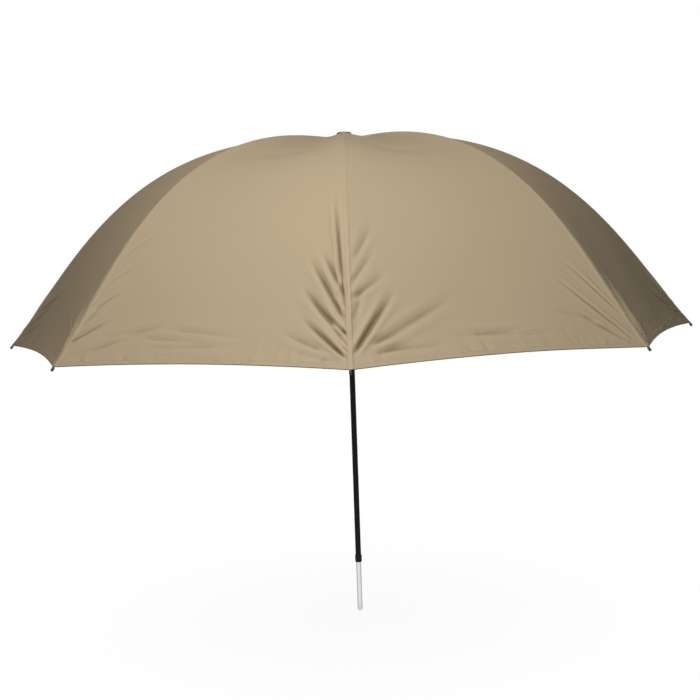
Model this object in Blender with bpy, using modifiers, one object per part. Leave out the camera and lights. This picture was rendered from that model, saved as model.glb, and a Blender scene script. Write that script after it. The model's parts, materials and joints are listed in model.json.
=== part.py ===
"""A large fishing umbrella with a round-topped cloth canopy, standing open on its steel ground spike.

Metres, +Z up. The origin is the tip of the spike. Eight steel ribs hang on a wire ring in a
slotted crown, eight channel stretchers run from clips on the ribs to a slotted runner, and the
black mast slides up a steel pole whose lower end is the spike. Rib 1 points to -Y, and the
others follow towards +X. A rib's pivot, its clip's rivet and the runner's pivot make a triangle
with two equal sides, so the runner moves along the mast at twice the rivet's height change.
"""

import math

import bmesh
import bpy
from mathutils import Matrix, Vector

for thing in list(bpy.data.objects):
    bpy.data.objects.remove(thing)

# Fits between pieces
GAP = 0.0003
RUNNING_GAP = 0.0004
WELD = 0.000005
OVERRUN = 0.002

# Ribs: slopes are degrees below level at even stations from the crown to the tip
RIBS = 8
RIB_LENGTH = 1.320
RIB_SLOPES = (-6.0, 18.3, 46.7, 48.8)
ROD_RADIUS = 0.0025
ROD_SEGMENTS_INNER = 6
ROD_SEGMENTS_OUTER = 7
RIB_LINE_STEPS = 240

# Wire rings and the flat ends that hang on them
WIRE_RADIUS = 0.001
WIRE_GAP = 0.0005
EYE_WALL = 0.002
TONGUE_THICKNESS = 0.003
TONGUE_HEIGHT = 0.0046
SLOT_GAP = 0.0006
EYE_GAP = 0.0007

# Steel pole with the spike
POLE_LENGTH = 0.950
POLE_RADIUS = 0.008
POLE_WALL = 0.0008
SPIKE_SHOWING = 0.164
SPIKE_POINT_LENGTH = 0.011
BUSH_HEAD = 0.007
BUSH_SPIGOT = 0.018
BUSH_BORE_RADIUS = 0.0045

# Black mast
MAST_LENGTH = 1.340
MAST_WALL = 0.0007
CRIMP_DEPTH = 0.0009
CRIMP_HEIGHT = 0.006

# Twist lock at the foot of the mast
COLLAR_LENGTH = 0.024
COLLAR_WALL = 0.0012
COLLAR_BULGE = 0.0006
COLLAR_FOOT_WALL = 0.0012
COLLAR_LIP = 0.0025
COLLAR_ON_MAST = 0.008
FLUTES = 10
FLUTE_RADIUS = 0.0016
FLUTE_DEPTH = 0.0006
COLLET_SLIT = 0.0015

# Crown and runner
CORE_WALL = 0.0024
FLANGE_OVER = 0.0045
FLANGE_HEIGHT = 0.012
HUB_SLEEVE_LENGTH = 0.038
HUB_SLEEVE_WALL = 0.0025
CAP_HEIGHT = 0.0205
CAP_OVERHANG = 0.0035
CAP_ROUNDING = 0.0055
CAP_FOOT_RISE = 0.003
SPIGOT_RADIUS = 0.0045
SPIGOT_LENGTH = 0.006
BARREL_WALL = 0.0032
BARREL_LENGTH = 0.056
GRIP_RADIUS = 0.0160
GRIP_LENGTH = 0.020

# Runner catch, a steel leaf in a slot of the mast
CATCH_LENGTH = 0.036
CATCH_THICKNESS = 0.002
CATCH_REACH = 0.0035
CATCH_DEPTH = 0.0030
CATCH_NOSE = 0.0030

# Stretchers and their clips on the ribs
CLIP_PLACE_SHARE = 0.455
CLIP_LENGTH = 0.024
CLIP_WALL = 0.001
CLIP_RISE = 0.0013
EAR_DROP = 0.020
EAR_THICKNESS = 0.003
EAR_CLEARANCE = 0.0005
EAR_RADIUS = 0.004
CHANNEL_WALL = 0.001
CHANNEL_HEIGHT = 0.006
FORK_OPENING = 0.008
RIVET_RADIUS = 0.0015
RIVET_HEAD_RADIUS = 0.0028
RIVET_HEAD = 0.001

# Rib tips
TIP_CAP_LENGTH = 0.0115
TIP_CAP_RADIUS = 0.0042
TIP_NECK_RADIUS = 0.0036
ROD_IN_CAP = 0.007

# Cloth
CLOTH = 0.001
HEM_RISE = 0.019
PANEL_SAG_SHARE = 0.0105
CROWN_HOLLOW = 0.018
HOLLOW_END_SHARE = 0.5
CANOPY_COLUMNS = 6
PATCH_RADIUS = 0.060

# Roundness
TURN_STEPS = 24
WIRE_SIDES = 6
SMALL_SIDES = 8
ROD_BEVEL_RESOLUTION = 2
SMOOTH_ANGLE = math.radians(35)

# Places that follow from the sizes
MAST_BORE = POLE_RADIUS + GAP
MAST_RADIUS = MAST_BORE + MAST_WALL
MAST_FOOT = SPIKE_SHOWING + COLLAR_LENGTH - COLLAR_ON_MAST
MAST_TOP = MAST_FOOT + MAST_LENGTH
PIVOT_HEIGHT = MAST_TOP + GAP + FLANGE_HEIGHT / 2
EYE_RADIUS = WIRE_RADIUS + WIRE_GAP + EYE_WALL
SLOT_START = MAST_RADIUS + RUNNING_GAP + CORE_WALL
PIVOT_RADIUS = SLOT_START + EYE_GAP + EYE_RADIUS
SLOT_WIDTH = TONGUE_THICKNESS + 2 * SLOT_GAP
FLANGE_RADIUS = PIVOT_RADIUS + FLANGE_OVER
GROOVE_SIDE = WIRE_RADIUS + WIRE_GAP
TONGUE_REACH = FLANGE_OVER + FLANGE_HEIGHT / 2 + EYE_WALL
HALF_PANEL = math.pi / RIBS
CLOTH_LIFT = ROD_RADIUS + GAP
CAP_TOP = FLANGE_HEIGHT / 2 + GAP + CAP_HEIGHT
EAR_SLOT = EAR_THICKNESS + 2 * EAR_CLEARANCE
CHANNEL_WIDTH = EAR_SLOT + 2 * CHANNEL_WALL
RIVET_HOLE = RIVET_RADIUS + GAP

model = bpy.data.collections.new("fishing_umbrella")
bench = bpy.data.collections.new("bench")
bpy.context.scene.collection.children.link(model)
bpy.context.scene.collection.children.link(bench)


def finish(name, color, roughness, metallic):
    """A plain finish of that colour."""
    material = bpy.data.materials.new(name)
    material.use_nodes = True
    shader = material.node_tree.nodes["Principled BSDF"]
    shader.inputs["Base Color"].default_value = (*color, 1.0)
    shader.inputs["Roughness"].default_value = roughness
    shader.inputs["Metallic"].default_value = metallic
    material.diffuse_color = (*color, 1.0)
    return material


canopy_cloth = finish("canopy_cloth", (0.43, 0.35, 0.23), 0.75, 0.0)
bright_steel = finish("bright_steel", (0.62, 0.62, 0.60), 0.28, 1.0)
zinc_steel = finish("zinc_steel", (0.42, 0.43, 0.43), 0.45, 1.0)
black_paint = finish("black_paint", (0.012, 0.012, 0.013), 0.35, 0.0)
black_plastic = finish("black_plastic", (0.018, 0.019, 0.018), 0.5, 0.0)
pale_nylon = finish("pale_nylon", (0.70, 0.68, 0.62), 0.5, 0.0)


def draft(mesh, location=(0, 0, 0), rotation=(0, 0, 0)):
    """A working object on the bench, later a mesh or a cutter."""
    item = bpy.data.objects.new("draft", mesh)
    item.location = location
    item.rotation_euler = rotation
    bench.objects.link(item)
    return item


def finished(item, *others):
    """The item's final mesh, closed and facing outwards. The item and the others are removed."""
    bpy.context.view_layer.update()
    graph = bpy.context.evaluated_depsgraph_get()
    mesh = bpy.data.meshes.new_from_object(item.evaluated_get(graph))
    mesh.transform(item.matrix_world)
    work = bmesh.new()
    work.from_mesh(mesh)
    bmesh.ops.remove_doubles(work, verts=work.verts, dist=WELD)
    bmesh.ops.recalc_face_normals(work, faces=work.faces)
    work.to_mesh(mesh)
    work.free()
    mesh.shade_smooth()
    mesh.set_sharp_from_angle(angle=SMOOTH_ANGLE)
    for used in (item, *others):
        bpy.data.objects.remove(used)
    return mesh


def combined(first, operation, *others):
    """The first mesh joined with the others (UNION) or cut by them (DIFFERENCE)."""
    item = draft(first)
    tools = [draft(mesh) for mesh in others]
    for tool in tools:
        change = item.modifiers.new(operation.lower(), "BOOLEAN")
        change.operation = operation
        change.object = tool
    return finished(item, *tools)


def block(low, high):
    """A box between two corners."""
    low, high = Vector(low), Vector(high)
    work = bmesh.new()
    bmesh.ops.create_cube(work, size=1.0)
    place = Matrix.Translation((low + high) / 2) @ Matrix.Diagonal((*(high - low), 1.0))
    bmesh.ops.transform(work, matrix=place, verts=work.verts)
    mesh = bpy.data.meshes.new("block")
    work.to_mesh(mesh)
    work.free()
    return mesh


def crossways_pin(radius, width, y, z):
    """A cylinder along X, centred on x = 0 at that y and z."""
    work = bmesh.new()
    place = Matrix.Translation((0, y, z)) @ Matrix.Rotation(math.pi / 2, 4, "Y")
    bmesh.ops.create_cone(
        work, cap_ends=True, segments=SMALL_SIDES, radius1=radius, radius2=radius, depth=width, matrix=place
    )
    mesh = bpy.data.meshes.new("pin")
    work.to_mesh(mesh)
    work.free()
    return mesh


def turned(profile, steps=TURN_STEPS, looped=False):
    """A solid turned about Z from (radius, height) points that run down its outer side."""
    mesh = bpy.data.meshes.new("profile")
    edges = [(i, i + 1) for i in range(len(profile) - 1)]
    if looped:
        edges.append((len(profile) - 1, 0))
    mesh.from_pydata([(radius, 0.0, height) for radius, height in profile], edges, [])
    item = draft(mesh)
    turn = item.modifiers.new("turn", "SCREW")
    turn.angle = math.tau
    turn.steps = turn.render_steps = steps
    turn.use_merge_vertices = True
    turn.merge_threshold = WELD
    return finished(item)


def quarter(centre_radius, centre_height, radius, height, start, end, steps):
    """Points of an elliptic arc about a centre, from one angle above level to another."""
    points = []
    for i in range(steps + 1):
        angle = math.radians(start + (end - start) * i / steps)
        points.append(
            (centre_radius + radius * math.cos(angle), centre_height + height * math.sin(angle))
        )
    return points


def plate(outline, thickness):
    """A flat plate in the Y-Z plane from (y, z) points, centred on x = 0."""
    curve = bpy.data.curves.new("outline", "CURVE")
    curve.dimensions = "2D"
    curve.fill_mode = "BOTH"
    curve.extrude = thickness / 2
    spline = curve.splines.new("POLY")
    spline.points.add(len(outline) - 1)
    for point, (y, z) in zip(spline.points, outline):
        point.co = (y, z, 0.0, 1.0)
    spline.use_cyclic_u = True
    item = draft(curve)
    item.matrix_world = Matrix(((0, 0, 1, 0), (1, 0, 0, 0), (0, 1, 0, 0), (0, 0, 0, 1)))
    return finished(item)


def tube(points, radius):
    """A round rod along the points, with closed ends."""
    curve = bpy.data.curves.new("route", "CURVE")
    curve.dimensions = "3D"
    curve.bevel_depth = radius
    curve.bevel_resolution = ROD_BEVEL_RESOLUTION
    curve.use_fill_caps = True
    spline = curve.splines.new("POLY")
    spline.points.add(len(points) - 1)
    for point, place in zip(spline.points, points):
        point.co = (*place, 1.0)
    return finished(draft(curve))


def radial_slots(start, end, width, low, high):
    """One cutter with a box for each rib's slot, from one radius to another."""
    work = bmesh.new()
    size = Vector((width, end - start, high - low))
    middle = Vector((0, -(start + end) / 2, (low + high) / 2))
    for n in range(RIBS):
        place = (
            Matrix.Rotation(n * 2 * HALF_PANEL, 4, "Z")
            @ Matrix.Translation(middle)
            @ Matrix.Diagonal((*size, 1.0))
        )
        bmesh.ops.create_cube(work, size=1.0, matrix=place)
    mesh = bpy.data.meshes.new("slots")
    work.to_mesh(mesh)
    work.free()
    return mesh


def rib_slope(share):
    """A rib's slope below level at a share of its length, on the cubic through its four slopes."""
    last = len(RIB_SLOPES) - 1
    total = 0.0
    for i, slope in enumerate(RIB_SLOPES):
        term = math.radians(slope)
        for j in range(last + 1):
            if j != i:
                term *= (share * last - j) / (i - j)
        total += term
    return total


def rib_middle_line():
    """The rib's middle line from its pivot, as (outward, up) points at even distances."""
    step = RIB_LENGTH / RIB_LINE_STEPS
    line = [(0.0, 0.0)]
    for i in range(RIB_LINE_STEPS):
        slope = rib_slope((i + 0.5) / RIB_LINE_STEPS)
        out, up = line[-1]
        line.append((out + step * math.cos(slope), up - step * math.sin(slope)))
    return line


RIB_LINE = rib_middle_line()


def rib_place(share, lift=0.0):
    """(outward, up) from the pivot at a share of the rib's length, lifted square to the rib."""
    place = min(max(share, 0.0), 1.0) * RIB_LINE_STEPS
    i = min(int(place), RIB_LINE_STEPS - 1)
    part = place - i
    out = RIB_LINE[i][0] + (RIB_LINE[i + 1][0] - RIB_LINE[i][0]) * part
    up = RIB_LINE[i][1] + (RIB_LINE[i + 1][1] - RIB_LINE[i][1]) * part
    slope = rib_slope(share)
    return out + lift * math.sin(slope), up + lift * math.cos(slope)


def rib_point(share, lift=0.0):
    """The same place as a point in the rib's own frame: pivot at the origin, outwards to -Y."""
    out, up = rib_place(share, lift)
    return Vector((0.0, -out, up))


def rod_stations():
    """Shares of a rib's length where its rod bends, with one straight run under the clip."""
    start = TONGUE_REACH / RIB_LENGTH
    inner_end = CLIP_PLACE_SHARE - CLIP_LENGTH / RIB_LENGTH
    outer_start = CLIP_PLACE_SHARE + CLIP_LENGTH / RIB_LENGTH
    inner, outer = ROD_SEGMENTS_INNER, ROD_SEGMENTS_OUTER
    shares = [start + (inner_end - start) * i / inner for i in range(inner + 1)]
    return shares + [outer_start + (1 - outer_start) * i / outer for i in range(outer + 1)]


ROD_STATIONS = rod_stations()
CLIP_RUN = [rib_point(share) for share in ROD_STATIONS[ROD_SEGMENTS_INNER : ROD_SEGMENTS_INNER + 2]]
CLIP_MIDDLE = (CLIP_RUN[0] + CLIP_RUN[1]) / 2
CLIP_SLOPE = math.atan2(CLIP_RUN[0].z - CLIP_RUN[1].z, CLIP_RUN[0].y - CLIP_RUN[1].y)
RIVET_PLACE = CLIP_MIDDLE + EAR_DROP * Vector((0, math.sin(CLIP_SLOPE), -math.cos(CLIP_SLOPE)))
STRETCHER_LENGTH = RIVET_PLACE.length
STRETCHER_SLOPE = math.atan2(-RIVET_PLACE.z, -RIVET_PLACE.y)
RUNNER_HEIGHT = PIVOT_HEIGHT + 2 * RIVET_PLACE.z
TIP_SLOPE = rib_slope(1.0)


def spike_pole_mesh():
    """Steel tube, open above, its lower end drawn in to a rounded point."""
    bore = POLE_RADIUS - POLE_WALL
    floor = SPIKE_POINT_LENGTH
    profile = [(0.0, floor), (bore, floor + bore / 2), (bore, POLE_LENGTH), (POLE_RADIUS, POLE_LENGTH)]
    profile += quarter(0.0, SPIKE_POINT_LENGTH, POLE_RADIUS, SPIKE_POINT_LENGTH, 0, -90, 5)
    return turned(profile)


def pole_bush_mesh():
    """Plastic bush plugged into the pole's top end, with a hole for air."""
    spigot = POLE_RADIUS - POLE_WALL - GAP
    head_foot = POLE_LENGTH + GAP
    return turned(
        [
            (BUSH_BORE_RADIUS, head_foot + BUSH_HEAD),
            (POLE_RADIUS - GAP, head_foot + BUSH_HEAD),
            (POLE_RADIUS, head_foot + BUSH_HEAD / 2),
            (POLE_RADIUS, head_foot),
            (spigot, head_foot),
            (spigot, POLE_LENGTH - BUSH_SPIGOT),
            (BUSH_BORE_RADIUS, POLE_LENGTH - BUSH_SPIGOT),
        ],
        looped=True,
    )


def mast_tube_mesh():
    """Black tube with a crimp that stops the pole's bush, and a slot for the catch."""
    crimp_low = POLE_LENGTH + GAP + BUSH_HEAD + GAP
    crimp = [
        (0.0, crimp_low + CRIMP_HEIGHT),
        (CRIMP_DEPTH, crimp_low + CRIMP_HEIGHT * 2 / 3),
        (CRIMP_DEPTH, crimp_low + CRIMP_HEIGHT / 3),
        (0.0, crimp_low),
    ]
    outer = [(MAST_RADIUS, MAST_TOP)]
    outer += [(MAST_RADIUS - depth, height) for depth, height in crimp]
    outer += [(MAST_RADIUS, MAST_FOOT)]
    inner = [(MAST_BORE, MAST_FOOT)]
    inner += [(MAST_BORE - depth, height) for depth, height in reversed(crimp)]
    inner += [(MAST_BORE, MAST_TOP)]
    shoulder = catch_shoulder_height()
    half = CATCH_THICKNESS / 2 + GAP
    slot = block(
        (-half, -MAST_RADIUS - OVERRUN, shoulder - CATCH_LENGTH - GAP),
        (half, -MAST_BORE / 2, shoulder + GAP),
    )
    return combined(turned(outer + inner, looped=True), "DIFFERENCE", slot)


def lock_collet_mesh():
    """Split nylon ring that the collar squeezes on to the pole."""
    low = SPIKE_SHOWING + COLLAR_LIP + GAP
    high = MAST_FOOT - GAP
    ring = turned(
        [(MAST_RADIUS, high), (MAST_RADIUS, low), (MAST_BORE, low), (MAST_BORE, high)], looped=True
    )
    slit = block(
        (-COLLET_SLIT / 2, MAST_BORE / 2, low - OVERRUN),
        (COLLET_SLIT / 2, MAST_RADIUS + OVERRUN, high + OVERRUN),
    )
    return combined(ring, "DIFFERENCE", slit)


def lock_collar_mesh():
    """Fluted black collar round the foot of the mast, drawn in below to a lip under the collet."""
    bore = MAST_RADIUS + GAP
    edge = bore + COLLAR_WALL
    widest = edge + COLLAR_BULGE
    low, high = SPIKE_SHOWING, SPIKE_SHOWING + COLLAR_LENGTH
    middle = (low + high) / 2
    lip = POLE_RADIUS + RUNNING_GAP
    foot = lip + COLLAR_FOOT_WALL
    profile = [
        (bore, high),
        (edge - COLLAR_BULGE, high),
        (edge, high - COLLAR_LENGTH / 8),
        (widest, high - COLLAR_LENGTH / 4),
    ]
    profile += quarter(foot, middle, widest - foot, COLLAR_LENGTH / 2, 0, -90, 3)
    profile += [(lip, low), (lip, low + COLLAR_LIP), (bore, low + COLLAR_LIP)]
    work = bmesh.new()
    reach = widest + FLUTE_RADIUS - FLUTE_DEPTH
    for n in range(FLUTES):
        place = Matrix.Rotation(math.tau * n / FLUTES, 4, "Z") @ Matrix.Translation(
            (reach, 0, middle)
        )
        bmesh.ops.create_cone(
            work,
            cap_ends=True,
            segments=SMALL_SIDES,
            radius1=FLUTE_RADIUS,
            radius2=FLUTE_RADIUS,
            depth=COLLAR_LENGTH / 2,
            matrix=place,
        )
    flutes = bpy.data.meshes.new("flutes")
    work.to_mesh(flutes)
    work.free()
    return combined(turned(profile, looped=True), "DIFFERENCE", flutes)


def groove(top, side=GROOVE_SIDE):
    """Profile points of a wire groove, open above, down to just under the wire."""
    return [
        (PIVOT_RADIUS - side, top),
        (PIVOT_RADIUS - side, -side),
        (PIVOT_RADIUS / math.cos(HALF_PANEL / 2) + side, -side),
        (PIVOT_RADIUS / math.cos(HALF_PANEL / 2) + side, top),
    ]


def crown_hub_mesh():
    """Slotted hub on the mast's top; heights are from the pivots' level."""
    top = FLANGE_HEIGHT / 2
    bore = MAST_RADIUS + GAP
    sleeve = bore + HUB_SLEEVE_WALL
    foot = -top - HUB_SLEEVE_LENGTH
    profile = [
        (0.0, top - SPIGOT_LENGTH - GAP),
        (SPIGOT_RADIUS + GAP, top - SPIGOT_LENGTH - GAP),
        (SPIGOT_RADIUS + GAP, top),
        *groove(top),
        (FLANGE_RADIUS, top),
        (FLANGE_RADIUS, -top),
        (sleeve, -top),
        (sleeve, foot),
        (bore, foot),
        (bore, -top),
        (0.0, -top),
    ]
    slots = radial_slots(SLOT_START, FLANGE_RADIUS + OVERRUN, SLOT_WIDTH, -top - GAP, top + OVERRUN)
    return combined(turned(profile), "DIFFERENCE", slots)


def wire_ring_mesh():
    """Steel wire ring, its straight runs centred in the slots."""
    centre = PIVOT_RADIUS / math.cos(HALF_PANEL / 2)
    profile = [
        (centre + WIRE_RADIUS * math.cos(a), WIRE_RADIUS * math.sin(a))
        for a in [-math.tau * i / WIRE_SIDES for i in range(WIRE_SIDES)]
    ]
    mesh = turned(profile, steps=2 * RIBS, looped=True)
    mesh.transform(Matrix.Rotation(HALF_PANEL / 2, 4, "Z"))
    return mesh


def crown_cap_mesh():
    """Domed plastic cap plugged into the hub, under the cloth's top patch."""
    foot = FLANGE_HEIGHT / 2 + GAP
    edge = FLANGE_RADIUS + CAP_OVERHANG
    profile = [(0.0, CAP_TOP)]
    profile += quarter(edge - CAP_ROUNDING, CAP_TOP - CAP_ROUNDING, CAP_ROUNDING, CAP_ROUNDING, 90, 0, 4)
    profile += [
        (edge, foot + CAP_FOOT_RISE),
        (FLANGE_RADIUS, foot),
        (SPIGOT_RADIUS, foot),
        (SPIGOT_RADIUS, foot - SPIGOT_LENGTH),
        (0.0, foot - SPIGOT_LENGTH),
    ]
    return turned(profile)


def top_patch_mesh():
    """Round cloth patch over the cap, its edge just above the canopy on the ribs."""
    cap_edge = FLANGE_RADIUS + CAP_OVERHANG
    rounding = CAP_ROUNDING + GAP
    edge_lift = CLOTH_LIFT + CLOTH + GAP
    share = (PATCH_RADIUS - PIVOT_RADIUS) / RIB_LENGTH
    edge_height = rib_place(share, edge_lift)[1]
    under = [(0.0, CAP_TOP + GAP)]
    under += quarter(cap_edge - CAP_ROUNDING, CAP_TOP - CAP_ROUNDING, rounding, rounding, 90, 40, 2)
    under += [(PATCH_RADIUS, edge_height)]
    over = [(radius, height + CLOTH) for radius, height in under]
    return turned(over + under[::-1])


def runner_mesh():
    """Slotted runner with a barrel and a flared finger grip; heights are from its pivots."""
    top = FLANGE_HEIGHT / 2
    bore = MAST_RADIUS + RUNNING_GAP
    barrel = bore + BARREL_WALL
    foot = runner_foot()
    profile = [
        (bore, top),
        *groove(top),
        (FLANGE_RADIUS, top),
        (FLANGE_RADIUS, -top),
        (barrel, -top - (FLANGE_RADIUS - barrel) / 2),
        (barrel, foot + GRIP_LENGTH),
        (GRIP_RADIUS, foot + GRIP_LENGTH * 2 / 3),
        (barrel, foot + GRIP_LENGTH / 3),
        (GRIP_RADIUS, foot + GRIP_LENGTH / 8),
        (GRIP_RADIUS, foot),
        (bore, foot),
    ]
    slots = radial_slots(SLOT_START, FLANGE_RADIUS + OVERRUN, SLOT_WIDTH, -top - OVERRUN, top + OVERRUN)
    return combined(turned(profile, looped=True), "DIFFERENCE", slots)


def runner_foot():
    """The barrel's lower end, from the runner's pivots."""
    return -FLANGE_HEIGHT / 2 - BARREL_LENGTH


def catch_shoulder_height():
    """The catch's top, just under the open runner."""
    return RUNNER_HEIGHT + runner_foot() - GAP


def runner_catch_mesh():
    """Spring leaf: a long ramp that a passing runner presses in, and a flat shoulder above."""
    inside = MAST_BORE - CATCH_DEPTH
    return plate(
        [
            (-inside, 0.0),
            (-MAST_RADIUS - CATCH_REACH, 0.0),
            (-MAST_RADIUS - CATCH_REACH, -CATCH_NOSE),
            (-MAST_BORE, -CATCH_LENGTH + CATCH_NOSE),
            (-MAST_BORE, -CATCH_LENGTH),
            (-inside, -CATCH_LENGTH),
        ],
        CATCH_THICKNESS,
    )


def tongue(reach, pivot_y=0.0, pivot_z=0.0):
    """Flat end with a round eye, running along -Y from its pivot."""
    half = TONGUE_HEIGHT / 2
    lean = math.degrees(math.asin(half / EYE_RADIUS))
    eye = quarter(pivot_y, pivot_z, EYE_RADIUS, EYE_RADIUS, 180 - lean, lean - 180, SMALL_SIDES)
    outline = [(pivot_y - reach, pivot_z - half), (pivot_y - reach, pivot_z + half)]
    return plate(outline + eye, TONGUE_THICKNESS)


def rib_mesh():
    """Round steel rod bent to the canopy's line, its crown end flattened to an eye."""
    points = [rib_point(share) for share in ROD_STATIONS]
    points.append(points[-1] + ROD_IN_CAP * Vector((0, -math.cos(TIP_SLOPE), -math.sin(TIP_SLOPE))))
    rod = tube(points, ROD_RADIUS)
    flat = tongue(TONGUE_REACH + ROD_RADIUS)
    flat.transform(Matrix.Rotation(rib_slope(0.0), 4, "X"))
    wire_hole = crossways_pin(WIRE_RADIUS + WIRE_GAP, TONGUE_THICKNESS + OVERRUN, 0.0, 0.0)
    return combined(combined(rod, "UNION", flat), "DIFFERENCE", wire_hole)


def rib_clip_mesh():
    """Pressed clip crimped under the rib, with one ear for the stretcher. Outwards is -Y."""
    inner = ROD_RADIUS + GAP
    outer = inner + CLIP_WALL
    half = CLIP_LENGTH / 2
    saddle = combined(
        block((-outer, -half, -outer), (outer, half, CLIP_RISE)),
        "DIFFERENCE",
        block((-inner, -half - OVERRUN, -inner), (inner, half + OVERRUN, CLIP_RISE + OVERRUN)),
    )
    lower = quarter(0.0, -EAR_DROP, EAR_RADIUS, EAR_RADIUS, 0, -180, SMALL_SIDES)
    root = -(inner + CLIP_WALL / 2)
    ear = plate([(half * 2 / 3, root), *lower, (-half * 2 / 3, root)], EAR_THICKNESS)
    hole = crossways_pin(RIVET_HOLE, EAR_THICKNESS + OVERRUN, 0.0, -EAR_DROP)
    return combined(combined(saddle, "UNION", ear), "DIFFERENCE", hole)


def rivet_mesh():
    """Headed pin through the stretcher's fork and the clip's ear, along Z."""
    grip = CHANNEL_WIDTH / 2 + GAP
    head = grip + RIVET_HEAD
    return turned(
        [
            (0.0, head),
            (RIVET_HEAD_RADIUS * 2 / 3, head),
            (RIVET_HEAD_RADIUS, grip),
            (RIVET_RADIUS, grip),
            (RIVET_RADIUS, -grip),
            (RIVET_HEAD_RADIUS, -grip),
            (RIVET_HEAD_RADIUS * 2 / 3, -head),
            (0.0, -head),
        ],
        steps=SMALL_SIDES,
    )


def stretcher_mesh():
    """Channel from the rivet at the origin along +Y, with a fork here and an eye at its far end."""
    half_width = CHANNEL_WIDTH / 2
    half_slot = EAR_SLOT / 2
    half_height = CHANNEL_HEIGHT / 2
    channel_end = STRETCHER_LENGTH - TONGUE_REACH
    round_end = quarter(0.0, 0.0, half_height, half_height, 270, 90, SMALL_SIDES // 2)
    channel = plate(
        round_end + [(channel_end, half_height), (channel_end, -half_height)], CHANNEL_WIDTH
    )
    trough = block(
        (-half_slot, FORK_OPENING / 2, -half_height + CHANNEL_WALL),
        (half_slot, channel_end - TONGUE_REACH / 2, half_height + OVERRUN),
    )
    fork = block(
        (-half_slot, -half_height - OVERRUN, -half_height - OVERRUN),
        (half_slot, FORK_OPENING, half_height + 2 * OVERRUN),
    )
    rivet_hole = crossways_pin(RIVET_HOLE, CHANNEL_WIDTH + OVERRUN, 0.0, 0.0)
    wire_hole = crossways_pin(
        WIRE_RADIUS + WIRE_GAP, TONGUE_THICKNESS + OVERRUN, STRETCHER_LENGTH, 0.0
    )
    cut = combined(combined(channel, "DIFFERENCE", trough), "DIFFERENCE", fork)
    cut = combined(cut, "DIFFERENCE", rivet_hole)
    flat = tongue(TONGUE_REACH + TONGUE_THICKNESS, STRETCHER_LENGTH, 0.0)
    return combined(combined(cut, "UNION", flat), "DIFFERENCE", wire_hole)


def tip_cap_mesh():
    """Plastic cap on the rib's end, along Z from the canopy's corner."""
    bore = ROD_RADIUS + GAP
    ball = TIP_CAP_RADIUS
    middle = TIP_CAP_LENGTH - ball
    profile = [(0.0, ROD_IN_CAP + GAP), (bore, ROD_IN_CAP + GAP), (bore, GAP), (TIP_CAP_RADIUS, GAP)]
    profile += [(TIP_NECK_RADIUS, middle - ball)]
    profile += quarter(0.0, middle, ball, ball, 0, 90, 3)
    return turned(profile[::-1], steps=SMALL_SIDES)


def canopy_mesh():
    """One eighth of the cover: the cloth on a rib, out to the middle of the panel on each side.

    The cloth sinks a little between the ribs, and most between the crown and half way down.
    """
    sine, cosine = math.sin(HALF_PANEL), math.cos(HALF_PANEL)
    rows = len(ROD_STATIONS) - 1
    first = ROD_STATIONS[0]
    work = bmesh.new()
    bmesh.ops.create_grid(work, x_segments=CANOPY_COLUMNS, y_segments=rows, size=1.0)
    for vert in work.verts:
        across, side = abs(vert.co.x), math.copysign(1.0, vert.co.x)
        arch = 2 * across - across * across
        station = ROD_STATIONS[round((1 - vert.co.y) / 2 * rows)]
        drawn_in = HEM_RISE * arch / RIB_LENGTH
        share = station - drawn_in * (station - first) / (1 - first)
        out, up = rib_place(share, CLOTH_LIFT)
        radius = PIVOT_RADIUS + out
        along = across * (radius * sine - GAP / 2)
        hollow = CROWN_HOLLOW * math.sin(math.pi * min(share / HOLLOW_END_SHARE, 1.0)) ** 2
        sag = (PANEL_SAG_SHARE * 2 * radius * sine + hollow) * arch
        slope = rib_slope(share)
        inward = sag * math.sin(slope)
        x = side * (along * cosine - inward * sine)
        y = -(radius - along * sine - inward * cosine) + PIVOT_RADIUS
        vert.co = (x, y, up - sag * math.cos(slope))
    mesh = bpy.data.meshes.new("canopy")
    work.to_mesh(mesh)
    work.free()
    item = draft(mesh)
    thick = item.modifiers.new("cloth", "SOLIDIFY")
    thick.thickness = CLOTH
    thick.offset = 1.0
    thick.use_even_offset = True
    return finished(item)


def joint(name, parent, location, rotation=(0, 0, 0)):
    """An empty on a joint's axis, which carries the pieces that move there."""
    empty = bpy.data.objects.new(name, None)
    empty.empty_display_size = FLANGE_RADIUS
    empty.parent = parent
    empty.location = location
    empty.rotation_euler = rotation
    model.objects.link(empty)
    return empty


def piece(name, mesh, material, parent, location=(0, 0, 0), rotation=(0, 0, 0)):
    """A finished piece of the umbrella."""
    item = bpy.data.objects.new(name, mesh)
    if not mesh.materials:
        mesh.materials.append(material)
    item.parent = parent
    item.location = location
    item.rotation_euler = rotation
    model.objects.link(item)
    return item


ground = joint("ground", None, (0, 0, 0))
piece("spike_pole", spike_pole_mesh(), bright_steel, ground)
piece("pole_bush", pole_bush_mesh(), black_plastic, ground)

mast_slide = joint("mast_slide", ground, (0, 0, 0))
piece("mast_tube", mast_tube_mesh(), black_paint, mast_slide)
piece("lock_collet", lock_collet_mesh(), pale_nylon, mast_slide)
collar_turn = joint("collar_turn", mast_slide, (0, 0, 0))
piece("lock_collar", lock_collar_mesh(), black_plastic, collar_turn)

crown_level = (0, 0, PIVOT_HEIGHT)
ring_mesh = wire_ring_mesh()
piece("crown_hub", crown_hub_mesh(), black_plastic, mast_slide, crown_level)
piece("crown_ring", ring_mesh, zinc_steel, mast_slide, crown_level)
piece("crown_cap", crown_cap_mesh(), black_plastic, mast_slide, crown_level)
piece("top_patch", top_patch_mesh(), canopy_cloth, mast_slide, crown_level)

catch_foot = (0, -MAST_BORE, catch_shoulder_height() - CATCH_LENGTH)
catch_hinge = joint("catch_hinge", mast_slide, catch_foot)
piece("runner_catch", runner_catch_mesh(), zinc_steel, catch_hinge, (0, MAST_BORE, CATCH_LENGTH))

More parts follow.
